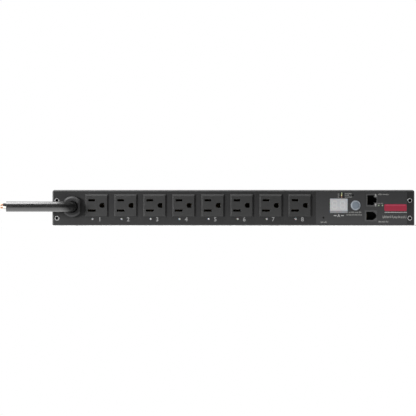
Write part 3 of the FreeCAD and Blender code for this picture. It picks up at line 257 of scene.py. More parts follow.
def jack_shell():
    """Jack moulding: dark grey on its front face, and near black everywhere else as painted shade in the
    opening.
    """
    s = Shader("jack_shell", specular=0.3)
    tooth = s.noise(0.3, 3, 0.6)
    front = s.math("LESS_THAN", s.axis("Y"), FILM_Y + JACK_FACE_DEPTH)
    open_face = s.math("MULTIPLY", front, s.math("LESS_THAN", s.facing("Y"), -0.5))
    grey = s.mix(tooth, (0.060, 0.060, 0.061), (0.080, 0.080, 0.081))
    # Painted shade: every face but the front one is drawn near black.
    base = s.mix(open_face, s.mix(tooth, (0.0015, 0.0015, 0.0015), (0.003, 0.003, 0.003)), grey)
    edge, soft = s.edges(0.15)
    # Sharp edges take a middle grey: partly rubbed wear, and a painted highlight where they rim the black
    # opening.
    base = s.mix(s.math("MULTIPLY", edge, 0.25), base, (0.030, 0.030, 0.030))
    return s.finish(base, s.mix_numbers(open_face, 0.8, 0.45), s.bump(tooth, 0.005, 1.0, soft))


def metal(name, dark, light, roughness, scratch=(1.0, 1.0, 1.0), painted_shade_in_mouth=False):
    """Plated or rolled metal: fine drawn lines, dull patches and edges drawn brighter, partly as rubbed wear
    and partly as a painted highlight. With painted shade in the mouth, only what faces forwards keeps the
    metal's colour and the rest is drawn near black."""
    s = Shader(name, metallic=1.0)
    lines = s.noise(0.35, 3, 0.6, place=s.stretched(scratch))
    patch = s.noise(4.5, 4, 0.6)
    base = s.mix(s.remap(patch, 0.35, 0.7), dark, light)
    edge, soft = s.edges(0.15)
    # Sharp edges are drawn brighter: partly rubbed wear, partly a painted highlight.
    base = s.mix(s.math("MULTIPLY", edge, 0.4), base, tuple(min(1.0, c * 1.25) for c in light))
    # Painted shade: faces that do not face forwards, such as a bore's walls, are drawn near black.
    if painted_shade_in_mouth:
        base = s.mix(s.remap(s.facing("Y"), -0.97, -0.85), base, (0.020, 0.020, 0.020))
    rough = s.remap(lines, 0.3, 0.7, roughness - 0.07, roughness + 0.10)
    return s.finish(base, rough, s.bump(lines, 0.004, 0.7, soft))


DULL_START = 13 * MM            # where the sheath starts to lose its gloss, left of the bushing
DULL_END = 2 * MM               # and where it has lost it, on its lower side
DULL_LEAD = 6 * MM              # the upper side is this much ahead of the lower side
DULL_HALF_HEIGHT = 3 * MM


def cord_sheath():
    """Glossy black extruded sheath with faint lines along its run and a few dull rubs. It is dull
    where it bends into the bushing."""
    s = Shader("cord_sheath", specular=1.0)
    lines = s.noise(0.9, 2, 0.5, place=s.stretched((0.02, 1.0, 1.0)))
    rub = s.noise(7, 4, 0.7, distort=1.0)
    bush = middle("strain_relief_body")
    lead = s.remap(s.axis("Z"), bush.z - DULL_HALF_HEIGHT, bush.z + DULL_HALF_HEIGHT, 0.0, DULL_LEAD)
    along = s.math("ADD", s.axis("X"), lead)
    gloss = s.remap(along, bush.x - DULL_START, bush.x - DULL_END, 1.0, 0.06)
    base = s.mix(s.remap(rub, 0.5, 0.8), (0.014, 0.014, 0.014), (0.022, 0.022, 0.022))
    rough = s.remap(rub, 0.45, 0.8, 0.24, 0.34)
    normal = s.bump(lines, 0.004, 0.6)
    return s.finish(base, rough, normal, Coat_Weight=gloss, Coat_Roughness=0.20, Coat_IOR=1.7,
                    Specular_IOR_Level=gloss)


def insulation(name, colour):
    """Extruded wire insulation with faint lines along it."""
    s = Shader(name)
    lines = s.noise(0.4, 2, place=s.stretched((0.03, 1.0, 1.0)))
    base = s.mix(s.remap(s.noise(3, 3), 0.3, 0.7), tuple(c * 0.85 for c in colour), colour)
    return s.finish(base, s.remap(lines, 0.3, 0.7, 0.33, 0.45), s.bump(lines, 0.006))


def milky_lens():
    """Milky moulded lens that passes a little light below its skin."""
    s = Shader("milky_lens")
    haze = s.noise(0.6, 3)
    base = s.mix(haze, (0.28, 0.29, 0.29), (0.42, 0.43, 0.43))
    return s.finish(base, s.remap(haze, 0.3, 0.7, 0.18, 0.30), s.bump(s.noise(0.5, 2), 0.004),
                    Subsurface_Weight=0.35, Subsurface_Scale=0.0008, Coat_Weight=0.3)


AMBER_FROM = at(14.4)            # the column's lenses are red below this height
GREEN_FROM = at(16.7)            # and amber below this one
COLUMN_WIDTH = 6 * MM            # the status column, from the left end of the lenses
SENSOR_END = 20 * MM             # the sensor lies left of this, from the right end of the lenses
LINK_WIDTH = 10 * MM             # both link lenses, from the right end of the lenses


def status_lens():
    """Small unlit lenses: a column tinted green, amber and red from the top down, a dark sensor
    beside it and two link lenses."""
    s = Shader("status_lens")
    low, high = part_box("status_lenses")
    haze = s.noise(0.6, 2)
    height, across = s.axis("Z"), s.axis("X")
    tint = s.mix(s.math("GREATER_THAN", height, AMBER_FROM), (0.34, 0.18, 0.13), (0.78, 0.74, 0.36))
    tint = s.mix(s.math("GREATER_THAN", height, GREEN_FROM), tint, (0.40, 0.46, 0.27))
    tint = s.mix(s.math("GREATER_THAN", across, high.x - LINK_WIDTH), tint, (0.34, 0.42, 0.30))
    tint = s.mix(s.math("MULTIPLY", haze, 0.35), tint, (0.25, 0.25, 0.24))
    beside = s.math("GREATER_THAN", across, low.x + COLUMN_WIDTH)
    sensor = s.math("MULTIPLY", beside, s.math("LESS_THAN", across, high.x - SENSOR_END))
    base = s.mix(sensor, tint, (0.002, 0.002, 0.002))
    return s.finish(base, s.remap(haze, 0.3, 0.7, 0.20, 0.30), s.bump(haze, 0.004),
                    Specular_IOR_Level=s.mix_numbers(sensor, 0.5, 0.15))


def display_acrylic():
    """Pale diffusing acrylic. The lower strip, past the display behind it, is a shade darker."""
    s = Shader("display_acrylic")
    low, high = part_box("display_window")
    height = s.remap(s.axis("Z"), low.z, high.z)
    strip = s.remap(height, 0.13, 0.17, 1.0, 0.0)
    shade = s.remap(s.noise(7, 2), 0.3, 0.7)
    base = s.mix(shade, (0.455, 0.455, 0.470), (0.490, 0.490, 0.500))
    base = s.mix(strip, base, (0.255, 0.255, 0.268))
    fine = s.noise(0.12, 2)
    return s.finish(base, s.remap(fine, 0.3, 0.7, 0.22, 0.30), s.bump(fine, 0.002, 0.5),
                    Coat_Weight=0.25, Coat_Roughness=0.12, Subsurface_Weight=0.15, Subsurface_Scale=0.0006)


def printed_ink(name, colour):
    """Screen-printed ink: a slightly uneven film with pinholes."""
    s = Shader(name)
    grain = s.noise(0.14, 3, 0.6)
    base = s.mix(s.remap(grain, 0.3, 0.5), tuple(c * 0.72 for c in colour), colour)
    return s.finish(base, s.remap(grain, 0.3, 0.7, 0.48, 0.62), s.bump(grain, 0.004))


def circuit_board():
    """Green solder mask over tracks, with the weave of the glass just showing."""
    s = Shader("circuit_board")
    cells = s.node("ShaderNodeTexBrick", offset=0.37, squash=1.0)
    s.set(cells, "Vector", s.place)
    s.set(cells, "Scale", 120.0)
    s.set(cells, "Mortar Size", 0.06)
    tracks = s.remap(cells.outputs["Fac"], 0.2, 0.8)
    weave = s.noise(0.9, 1, place=s.stretched((1.0, 0.25, 1.0)))
    base = s.mix(tracks, (0.008, 0.060, 0.022), (0.018, 0.120, 0.045))
    base = s.mix(s.remap(weave, 0.45, 0.75, 0, 0.4), base, (0.012, 0.075, 0.030))
    return s.finish(base, s.remap(weave, 0.3, 0.7, 0.25, 0.36), s.bump(tracks, 0.03, 0.6), Coat_Weight=0.3)


def fibre_sheet():
    """Pressed fibre with short flecks."""
    s = Shader("fibre_sheet")
    fleck = s.noise(1.2, 5, 0.75, place=s.stretched((0.3, 1.0, 1.0)))
    base = s.mix(s.remap(fleck, 0.3, 0.7), (0.30, 0.25, 0.16), (0.50, 0.43, 0.30))
    return s.finish(base, 0.8, s.bump(fleck, 0.05))


def laminations():
    """Stacked iron laminations under varnish."""
    s = Shader("laminations", metallic=0.6)
    wave = s.node("ShaderNodeTexWave", bands_direction="Y")
    s.set(wave, "Vector", s.place)
    s.set(wave, "Scale", 320.0)
    s.set(wave, "Distortion", 1.0)
    s.set(wave, "Detail Scale", 3.0)
    sheets = wave.outputs["Fac"]
    base = s.mix(sheets, (0.045, 0.040, 0.036), (0.160, 0.150, 0.140))
    return s.finish(base, s.remap(s.noise(3, 3), 0.3, 0.7, 0.35, 0.55), s.bump(sheets, 0.10))


WIRE_PITCH = 1.27 * MM
RED_WIRE_FROM = 5.0 * MM         # from the ribbon's middle


def ribbon():
    """Flat cable: a groove between every pair of wires, one edge wire marked red."""
    s = Shader("ribbon")
    across = s.math("SUBTRACT", s.axis("X"), middle("ribbon_cable").x)
    wave = s.math("ABSOLUTE", s.math("SINE", s.math("MULTIPLY", across, math.pi / WIRE_PITCH)))
    base = s.mix(s.remap(wave, 0.0, 0.5), (0.16, 0.16, 0.16), (0.40, 0.40, 0.41))
    first = s.remap(across, RED_WIRE_FROM, RED_WIRE_FROM + 0.1 * MM)
    base = s.mix(first, base, (0.45, 0.03, 0.03))
    return s.finish(base, s.remap(s.noise(2, 2), 0.3, 0.7, 0.40, 0.52), s.bump(wave, 0.25))


# For each material slot: what makes the material, and its settings. Colours are linear.
LOOKS = {
    "black_steel": (powder_coat, {}),
    "overlay_film": (overlay_film, {}),
    "cord_rubber": (cord_sheath, {}),
    "lens_milky": (milky_lens, {}),
    "status_lens": (status_lens, {}),
    "window_pale": (display_acrylic, {}),
    "jack_black": (jack_shell, {}),
    "circuit_board": (circuit_board, {}),
    "insulator_fibre": (fibre_sheet, {}),
    "transformer_iron": (laminations, {}),
    "ribbon_grey": (ribbon, {}),
    "core_black": (insulation, {"name": "core_black", "colour": (0.020, 0.020, 0.020)}),
    "core_white": (insulation, {"name": "core_white", "colour": (0.70, 0.70, 0.66)}),
    "core_green": (insulation, {"name": "core_green", "colour": (0.03, 0.24, 0.07)}),
    "zinc_screw": (metal, {
        "name": "black_oxide", "dark": (0.030, 0.030, 0.032), "light": (0.060, 0.060, 0.064),
        "roughness": 0.42}),
    "bright_steel": (metal, {
        "name": "bright_zinc", "dark": (0.56, 0.57, 0.59), "light": (0.74, 0.75, 0.76), "roughness": 0.30}),
    "insert_steel": (metal, {
        "name": "insert_zinc", "dark": (0.56, 0.56, 0.57), "light": (0.74, 0.74, 0.74), "roughness": 0.50,
        "painted_shade_in_mouth": True}),
    "spring_brass": (metal, {
        "name": "spring_brass", "dark": (0.20, 0.14, 0.06), "light": (0.34, 0.25, 0.11), "roughness": 0.55,
        "scratch": (1.0, 0.04, 1.0)}),
    "gold_contact": (metal, {
        "name": "gold_contact", "dark": (0.14, 0.10, 0.035), "light": (0.20, 0.15, 0.06), "roughness": 0.40,
        "scratch": (1.0, 0.05, 1.0)}),
    "copper_bar": (metal, {
        "name": "copper_bar", "dark": (0.50, 0.22, 0.12), "light": (0.76, 0.40, 0.25), "roughness": 0.30,
        "scratch": (0.03, 1.0, 1.0)}),
    "copper_wire": (metal, {
        "name": "copper_wire", "dark": (0.62, 0.30, 0.16), "light": (0.85, 0.47, 0.30), "roughness": 0.26,
        "scratch": (0.05, 1.0, 1.0)}),
    "outlet_black": (moulded, {
        "name": "outlet_plastic", "dark": (0.032, 0.032, 0.032), "light": (0.036, 0.036, 0.036),
        "roughness": 0.42, "tooth_mm": 0.35, "depth_mm": 0.008, "edge_wear_and_highlight": (0.055, 0.055, 0.056),
        "specular": 0.38}),
    "nylon_black": (moulded, {
        "name": "nylon", "dark": (0.038, 0.038, 0.039), "light": (0.046, 0.046, 0.047), "roughness": 0.44,
        "tooth_mm": 0.5, "depth_mm": 0.008, "edge_wear_and_highlight": (0.090, 0.090, 0.092), "specular": 0.30,
        "painted_shade_reach_mm": 6}),
    "jack_window": (moulded, {
        "name": "jack_window", "dark": (0.30, 0.30, 0.29), "light": (0.38, 0.38, 0.37), "roughness": 0.35,
        "tooth_mm": 0.2, "depth_mm": 0.003}),
    "led_white": (moulded, {
        "name": "led_white", "dark": (0.62, 0.62, 0.60), "light": (0.74, 0.74, 0.71), "roughness": 0.35,
        "tooth_mm": 0.2, "depth_mm": 0.003}),
    "button_blue_grey": (moulded, {
        "name": "button_cap", "dark": (0.155, 0.185, 0.220), "light": (0.185, 0.215, 0.250),
        "roughness": 0.38, "tooth_mm": 0.25, "depth_mm": 0.004, "edge_wear_and_highlight": (0.32, 0.36, 0.41)}),
    "bezel_pale": (moulded, {
        "name": "bezel", "dark": (0.270, 0.300, 0.335), "light": (0.330, 0.360, 0.395), "roughness": 0.32,
        "tooth_mm": 0.3, "depth_mm": 0.003, "edge_wear_and_highlight": (0.50, 0.53, 0.57)}),
    "relay_plastic": (moulded, {
        "name": "relay_case", "dark": (0.018, 0.045, 0.120), "light": (0.026, 0.060, 0.150),
        "roughness": 0.34, "tooth_mm": 0.4, "depth_mm": 0.006, "edge_wear_and_highlight": (0.05, 0.10, 0.22)}),
    "terminal_green": (moulded, {
        "name": "terminal_plastic", "dark": (0.012, 0.110, 0.045), "light": (0.020, 0.150, 0.060),
        "roughness": 0.40, "tooth_mm": 0.4, "depth_mm": 0.006, "edge_wear_and_highlight": (0.05, 0.24, 0.10)}),
    "capacitor_sleeve": (moulded, {
        "name": "capacitor_sleeve", "dark": (0.012, 0.012, 0.035), "light": (0.020, 0.020, 0.050),
        "roughness": 0.25, "tooth_mm": 1.5, "depth_mm": 0.004}),
    "chip_epoxy": (moulded, {
        "name": "chip_epoxy", "dark": (0.016, 0.016, 0.017), "light": (0.024, 0.024, 0.025),
        "roughness": 0.55, "tooth_mm": 0.2, "depth_mm": 0.006}),
}
# Nodes whose own look differs from their slot's.
NODE_LOOKS = {"status_lenses": "status_lens", "jack_leds": "jack_window", "front_inserts": "insert_steel"}
made_looks = {}


def look(slot):
    """The material of a slot, made once."""
    if slot not in made_looks:
        maker, settings = LOOKS[slot]
        made_looks[slot] = maker(**settings)
    return made_looks[slot]


def dress_frame():
    """Every CAD node gets the procedural material of its slot, or its own where it has one."""
    for part in frame["record"]["subparts"]:
        node = NODES[part["node"]]
        material = look(NODE_LOOKS.get(part["node"], part["material_slot"]))
        if not node.material_slots:
            node.data.materials.append(material)
        for place in node.material_slots:
            place.material = material


# ---------------------------------------------------------------- meshes
def add_piece(name, mesh, material, body="enclosure"):
    """Put a finished mesh in the scene, riding on a CAD body."""
    piece = bpy.data.objects.new(name, mesh)
    bpy.context.scene.collection.objects.link(piece)
    piece.data.materials.append(material)
    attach(piece, body)
    return piece


def prism(bm, outline, front, back):
    """A flat closed plate: an outline of (x, z) points between two depths in y."""
    near = [bm.verts.new((x, front, z)) for x, z in outline]
    far = [bm.verts.new((x, back, z)) for x, z in outline]
    bm.faces.new(near)
    bm.faces.new(list(reversed(far)))
    for i, vertex in enumerate(near):
        after = (i + 1) % len(near)
        bm.faces.new((vertex, far[i], far[after], near[after]))


def mesh_from(name, bm):
    """Finish a bmesh, with its normals outwards."""
    bmesh.ops.recalc_face_normals(bm, faces=bm.faces)
    mesh = bpy.data.meshes.new(name)
    bm.to_mesh(mesh)
    bm.free()
    return mesh


INK = 0.03 * MM                # thickness of printed ink
SUNK = 0.01 * MM               # how far a print reaches into the surface under it
BOLD = 0.10 * MM               # how much each letter's outline is grown


def print_shapes(name, outlines, surface_y, material):
    """Printed shapes standing an ink's thickness out of a surface."""
    bm = bmesh.new()
    for outline in outlines:
        prism(bm, outline, surface_y - INK, surface_y + SUNK)
    return add_piece(name, mesh_from(name, bm), material)


def rectangle(x0, x1, z0, z1):
    """The corners of a rectangle, in (x, z)."""
    return [(x0, z0), (x1, z0), (x1, z1), (x0, z1)]


def rounded_rectangle(x0, x1, z0, z1, radius, steps=6):
    """A rectangle's outline with round corners, each of so many straight steps."""
    corners = [(x0 + radius, z0 + radius, 180), (x1 - radius, z0 + radius, 270),
               (x1 - radius, z1 - radius, 0), (x0 + radius, z1 - radius, 90)]
    return [(x + radius * math.cos(math.radians(start + 90 * i / steps)),
             z + radius * math.sin(math.radians(start + 90 * i / steps)))
            for x, z, start in corners for i in range(steps + 1)]


STROKE_MM = (0.32, 0.55)         # narrowest and widest stroke of the fine print
STROKE_GAP = 0.22 * MM
WORD_GAP = 0.55 * MM
WORD_STROKES = (3, 7)            # fewest and most strokes in a group
SHORTEST_STROKE = 0.3 * MM
LOW_SHARE, LOW_DROP = 0.12, 0.25    # how many strokes reach below the line, and how far
TALL_SHARE, SHORT = 0.3, 0.72       # how many have the full height, and the height of the others


def word_shapes(rng, x0, x1, z, height):
    """A line of wordless marks: upright strokes in groups, as fine print looks from far off."""
    shapes, x = [], x0
    left_in_word = rng.randint(*WORD_STROKES)
    while x < x1 - SHORTEST_STROKE:
        width = rng.uniform(*STROKE_MM) * MM
        low = z - height / 2 - (LOW_DROP * height if rng.random() < LOW_SHARE else 0)
        tall = height * (1.0 if rng.random() < TALL_SHARE else SHORT)
        shapes.append(rectangle(x, min(x + width, x1), low, low + tall))
        left_in_word -= 1
        x += width + STROKE_GAP
        if left_in_word == 0:
            left_in_word = rng.randint(*WORD_STROKES)
            x += WORD_GAP
    return shapes


CAPITAL_HEIGHT = 0.73            # of Blender's own font, for a size of 1


def text_mesh(name, text, height, x, z, surface_y):
    """A numeral or symbol as a thin closed mesh, centred on (x, z)."""
    curve = bpy.data.curves.new(name, "FONT")
    curve.body = text
    curve.size = height / CAPITAL_HEIGHT
    curve.align_x = "CENTER"
    curve.extrude = (INK + SUNK) / 2
    curve.offset = BOLD
    holder = bpy.data.objects.new(name + "_text", curve)
    bpy.context.scene.collection.objects.link(holder)
    mesh = bpy.data.meshes.new_from_object(holder.evaluated_get(bpy.context.evaluated_depsgraph_get()))
    bpy.data.objects.remove(holder)
    mesh.transform(Matrix.Rotation(math.pi / 2, 4, "X"))
    points = [v.co for v in mesh.vertices]
    centre_x = (min(p.x for p in points) + max(p.x for p in points)) / 2
    centre_z = (min(p.z for p in points) + max(p.z for p in points)) / 2
    mesh.transform(Matrix.Translation((x - centre_x, surface_y - (INK - SUNK) / 2, z - centre_z)))
    mesh.materials.clear()
    return mesh


# ---------------------------------------------------------------- printing on the front
NUMERAL_H = 5.2 * MM
NUMERAL_Z = at(-14.3)
NUMERAL_DX = 3.2 * MM          # from the outlet's middle to the numeral's
ONE_DX = 0.9 * MM              # the narrow 1 is set to the right of its space


def outlet_numerals(ink):
    """The outlets' numbers, beside their lights."""
    for node in OUTLETS:
        number = node[len(OUTLET_PREFIX):]
        name = f"numeral_{number}"
        x = middle(node).x + NUMERAL_DX + (ONE_DX if number == "1" else 0.0)
        mesh = text_mesh(name, number, NUMERAL_H, x, NUMERAL_Z, PANEL_Y)
        add_piece(name, mesh, ink)


def fine_print():
    """Every block of fine print: where it starts, and its lines as the first and last x from there
    and the height above the panel's middle and of the strokes, all in millimetres."""
    reset_x = middle("reset_switch_plunger").x
    button_x = middle("select_button").x
    network_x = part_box("network_jack")[1].x
    serial_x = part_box("serial_jack")[1].x
    return {
        "legend_reset": (reset_x, [(-3.4, 3.7, -17.7, 1.9)]),
        "legend_status": (STATUS_X, [(4.85, 13.65, 17.6, 1.5), (4.85, 10.05, 15.4, 1.5),
                                     (4.85, 14.05, 13.2, 1.5)]),
        "legend_button": (button_x, [(-8.5, 6.9, -5.5, 1.6), (-11.3, 7.9, -8.7, 1.8)]),
        "legend_network": (network_x, [(0.8, 13.8, 16.6, 1.9)]),
        "legend_link": (network_x, [(0.0, 7.6, 5.3, 1.0)]),
        "legend_serial": (serial_x, [(1.8, 14.0, -17.1, 2.0)]),
        "legend_series": (FILM_HIGH.x, [(-30.4, -1.0, -11.2, 3.0)]),
        "legend_steps": (STATUS_X, [(-3.95, -1.75, z, 1.3) for z in (16.9, 14.9, 12.9)]),
    }


UNIT_Z = at(-9.8)
UNIT_H = 3.6 * MM
DASH_X = 4.5 * MM              # from the unit symbol's middle to each dash's
DASH_W, DASH_H = 3.4 * MM, 1.1 * MM
SIGHT_LEFT, SIGHT_RIGHT = 1.6 * MM, 3.8 * MM    # the dark field, to each side of the status column's edge
SIGHT_Z = (at(12.4), at(18.6))
SIGHT_CORNER_R = 0.5 * MM


def control_legends(ink, faint):
    """Generic marks where the film carries fine print: strokes that spell nothing, a unit symbol
    between two dashes under the display, and the dark field that the status lights stand in."""
    rng = random.Random(7)
    for name, (start_x, lines) in fine_print().items():
        shapes = []
        for first, last, z, height in lines:
            shapes += word_shapes(rng, start_x + first * MM, start_x + last * MM, at(z), height * MM)
        print_shapes(name, shapes, FILM_Y, faint)
    unit_x = middle("display_window").x
    add_piece("unit_symbol", text_mesh("unit_symbol", "A", UNIT_H, unit_x, UNIT_Z, FILM_Y), ink)
    dash_z = (UNIT_Z - DASH_H / 2, UNIT_Z + DASH_H / 2)
    dashes = [rectangle(x - DASH_W / 2, x + DASH_W / 2, *dash_z) for x in (unit_x - DASH_X, unit_x + DASH_X)]
    print_shapes("unit_dashes", dashes, FILM_Y, ink)
    sight = rounded_rectangle(STATUS_X - SIGHT_LEFT, STATUS_X + SIGHT_RIGHT, *SIGHT_Z, SIGHT_CORNER_R)
    black = printed_ink("ink_black", (0.004, 0.005, 0.004))
    print_shapes("status_sight", [sight], FILM_Y + INK * 0.5, black)


MARK_LEFT, MARK_RIGHT = FILM_HIGH.x - 28.4 * MM, FILM_HIGH.x - 0.7 * MM
MARK_Z = (at(-4.3), at(4.3))
MARK_CORNER_R = 1.6 * MM
BAR_INSET = 1.4 * MM           # the paler bar, from the field's ends
BAR_Z = (at(2.4), at(3.6))
BAR_CORNER_R = 0.6 * MM
RULE_INSET = 0.4 * MM          # the dashed rule under the field, from its left end
RULE_Z = (at(-6.2), at(-5.4))
RULE_DASH_MM = (0.9, 1.9)      # shortest and longest dash
RULE_GAP = 0.45 * MM
RULE_STOP = 1.0 * MM           # no dash starts closer than this to the right end


def maker_mark():
    """A plain crimson field with a paler bar in it and a dashed rule under it, in place of any mark."""
    red = printed_ink("ink_crimson", (0.30, 0.014, 0.040))
    pale_red = printed_ink("ink_rose", (0.40, 0.045, 0.085))
    white = printed_ink("ink_white", (0.50, 0.50, 0.49))
    field = rounded_rectangle(MARK_LEFT, MARK_RIGHT, *MARK_Z, MARK_CORNER_R)
    print_shapes("mark_field", [field], FILM_Y, red)
    bar = rounded_rectangle(MARK_LEFT + BAR_INSET, MARK_RIGHT - BAR_INSET, *BAR_Z, BAR_CORNER_R)
    print_shapes("mark_line", [bar], FILM_Y - INK, pale_red)
    rng = random.Random(11)
    dashes, x = [], MARK_LEFT + RULE_INSET
    while x < MARK_RIGHT - RULE_STOP:
        length = rng.uniform(*RULE_DASH_MM) * MM
        dashes.append(rectangle(x, min(x + length, MARK_RIGHT), *RULE_Z))
        x += length + RULE_GAP
    print_shapes("mark_rule", dashes, FILM_Y, white)


# ---------------------------------------------------------------- display digits
DIGIT_H = 9.6 * MM
DIGIT_W = 5.2 * MM
SEGMENT_T = 1.15 * MM
SEGMENT_GAP = 0.18 * MM        # from a bar's pointed end to the digit's corner
DIGITS_RISE = 0.9 * MM         # from the window's middle up to the digits'
DIGIT_PLACES = (0.27, 0.72)    # along the window's width
POINT_R = 0.6 * MM
POINT_DX = 1.7 * MM            # from a digit's right side to its decimal point
POINT_CORNERS = 16


def segment_outline(x, z, length, upright):
    """One bar of a seven-segment digit, pointed at both ends."""
    half, thin = length / 2 - SEGMENT_GAP, SEGMENT_T / 2
    points = [(-half, 0), (-half + thin, -thin), (half - thin, -thin), (half, 0), (half - thin, thin),
              (-half + thin, thin)]
    if upright:
        points = [(-b, a) for a, b in points]
    return [(x + a, z + b) for a, b in points]


def digit_shapes(x, z):
    """Seven bars and a decimal point."""
    bar_h = DIGIT_H / 2
    shapes = [segment_outline(x, z + step * bar_h, DIGIT_W, False) for step in (-1, 0, 1)]
    for side in (-1, 1):
        for step in (-0.5, 0.5):
            shapes.append(segment_outline(x + side * DIGIT_W / 2, z + step * bar_h, bar_h, True))
    angles = [2 * math.pi * k / POINT_CORNERS for k in range(POINT_CORNERS)]
    point_x, point_z = x + DIGIT_W / 2 + POINT_DX, z - bar_h
    shapes.append([(point_x + POINT_R * math.cos(a), point_z + POINT_R * math.sin(a)) for a in angles])
    return shapes


def display_digits():
    """Two unlit digits, a shade paler than the window they show through."""
    low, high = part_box("display_window")
    shapes = []
    for part in DIGIT_PLACES:
        shapes += digit_shapes(low.x + part * (high.x - low.x), (low.z + high.z) / 2 + DIGITS_RISE)
    print_shapes("display_digits", shapes, low.y, printed_ink("segment_pale", (0.53, 0.54, 0.53)))


# ---------------------------------------------------------------- cut end of the cord
def tube(bm, points, radius, sides=8):
    """A round bar through the points, closed at both ends."""
    rings = []
    for i, point in enumerate(points):
        before, after = points[max(i - 1, 0)], points[min(i + 1, len(points) - 1)]
        along = (after - before).normalized()
        side = along.cross(Vector((0, 0, 1))).normalized()
        up = side.cross(along)
        ring = [bm.verts.new(point + radius * (math.cos(a) * side + math.sin(a) * up))
                for a in (2 * math.pi * k / sides for k in range(sides))]
        rings.append(ring)
    for one, two in zip(rings, rings[1:]):
        for k in range(sides):
            bm.faces.new((one[k], one[(k + 1) % sides], two[(k + 1) % sides], two[k]))
    bm.faces.new(list(reversed(rings[0])))
    bm.faces.new(rings[-1])


CORD_R = 6.35 * MM
CORE_RING_R = 2.25 * MM        # from the cord's axis to each core's
CORES = 3
FIRST_CORE_ANGLE = 90          # degrees, from the front
CORE_CUT = 4 * MM              # how far the insulation stands out of the sheath
STRAND_START = 1.5 * MM        # the strands start this deep in the insulation
STRAND_R = 0.20 * MM
STRAND_STEPS = 8
STRAND_TWIST = 110             # degrees, along the whole strand
STRAND_SPREAD = 0.10           # how much wider the bundle is at its tip
STRAND_ENDS_MM = (-0.8, 0.3)   # how far a strand's end may be from the copper's
INNER_RING_MM, OUTER_RING_MM = 0.44, 0.86


def strand_layout():
    """Where a core's 19 strands start: distance from its axis in millimetres, and angle."""
    inner = [(INNER_RING_MM, 60 * k) for k in range(6)]
    outer = [(OUTER_RING_MM, 30 * k + 15) for k in range(12)]
    return [(0.0, 0.0)] + inner + outer


def copper_strands():
    """Twisted strands standing out of the three cut cores."""
    tip_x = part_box("core_copper")[0].x
    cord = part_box("cord_jacket")
    start_x = cord[0].x - CORE_CUT + STRAND_START
    axis_y = cord[0].y + CORD_R
    axis_z = (cord[0].z + cord[1].z) / 2
    rng = random.Random(3)
    bm = bmesh.new()
    for core in range(CORES):
        angle = math.radians(FIRST_CORE_ANGLE + 360 / CORES * core)
        core_y = axis_y - CORE_RING_R * math.cos(angle)
        core_z = axis_z + CORE_RING_R * math.sin(angle)
        for ring_mm, first_angle in strand_layout():
            end_x = tip_x - rng.uniform(*STRAND_ENDS_MM) * MM
            points = []
            for step in range(STRAND_STEPS + 1):
                part = step / STRAND_STEPS
                turn = math.radians(first_angle + STRAND_TWIST * part)
                spread = ring_mm * MM * (1 + STRAND_SPREAD * part)
                points.append(Vector((start_x + (end_x - start_x) * part, core_y + spread * math.cos(turn),
                                      core_z + spread * math.sin(turn))))
            tube(bm, points, STRAND_R)
    add_piece("copper_strands", mesh_from("copper_strands", bm), look("copper_wire"))


# ---------------------------------------------------------------- softened edges of CAD parts
OUTLET_SOFTNESS = 0.18
SOFTNESS_MM = {"strain_relief_body": 0.35, "select_button": 0.18, "button_bezel": 0.15, "network_jack": 0.12,
               "serial_jack": 0.12}
SHARP_ANGLE = 34               # degrees; edges that turn more than this are rounded
SAME_POINT = 0.002 * MM        # corners closer than this are one point


def soften(node, width_mm):
    """Round a part's sharp edges slightly, leaving its own mesh as it is."""
    part = NODES[node]
    weld = part.modifiers.new("weld", "WELD")
    weld.merge_threshold = SAME_POINT
    bevel = part.modifiers.new("soft_edges", "BEVEL")
    bevel.width = width_mm * MM
    bevel.segments = 2
    bevel.limit_method = "ANGLE"
    bevel.angle_limit = math.radians(SHARP_ANGLE)
    bevel.use_clamp_overlap = True
    bevel.harden_normals = False


# ---------------------------------------------------------------- stage
def area_light(name, place, aim, power, width, height):
    """A rectangular lamp at a place, turned towards its aim."""
    light = bpy.data.lights.new(name, "AREA")
    light.shape = "RECTANGLE"
    light.size, light.size_y = width, height
    light.energy = power
    holder = bpy.data.objects.new(name, light)
    holder.location = place
    holder.rotation_euler = (Vector(aim) - Vector(place)).to_track_quat("-Z", "Y").to_euler()
    bpy.context.scene.collection.objects.link(holder)


def build_world():
    """White to the camera. As a light it is dark in front of the object and white behind it, and
    dimmer on the right than on the left."""
    world = bpy.data.worlds.new("studio")
    bpy.context.scene.world = world
    world.use_nodes = True
    tree = world.node_tree

    def ramp(value, low, high, to_low, to_high):
        made = tree.nodes.new("ShaderNodeMapRange")
        tree.links.new(value, made.inputs["Value"])
        for socket, number in (("From Min", low), ("From Max", high), ("To Min", to_low),
                               ("To Max", to_high)):
            made.inputs[socket].default_value = number
        return made.outputs[0]

    seen = tree.nodes["Background"]
    lit = tree.nodes.new("ShaderNodeBackground")
    for background in (seen, lit):
        background.inputs["Color"].default_value = (1, 1, 1, 1)
    ray = tree.nodes.new("ShaderNodeSeparateXYZ")
    tree.links.new(tree.nodes.new("ShaderNodeTexCoord").outputs["Generated"], ray.inputs[0])
    strength = tree.nodes.new("ShaderNodeMath")
    strength.operation = "MULTIPLY"
    tree.links.new(ramp(ray.outputs["Y"], -0.45, 0.45, 0.04, 1.0), strength.inputs[0])
    tree.links.new(ramp(ray.outputs["X"], -0.3, 0.8, 1.0, 0.25), strength.inputs[1])
    tree.links.new(strength.outputs[0], lit.inputs["Strength"])
    chooser = tree.nodes.new("ShaderNodeMixShader")
    tree.links.new(tree.nodes.new("ShaderNodeLightPath").outputs["Is Camera Ray"], chooser.inputs[0])
    tree.links.new(lit.outputs[0], chooser.inputs[1])
    tree.links.new(seen.outputs[0], chooser.inputs[2])
    tree.links.new(chooser.outputs[0], tree.nodes["World Output"].inputs["Surface"])


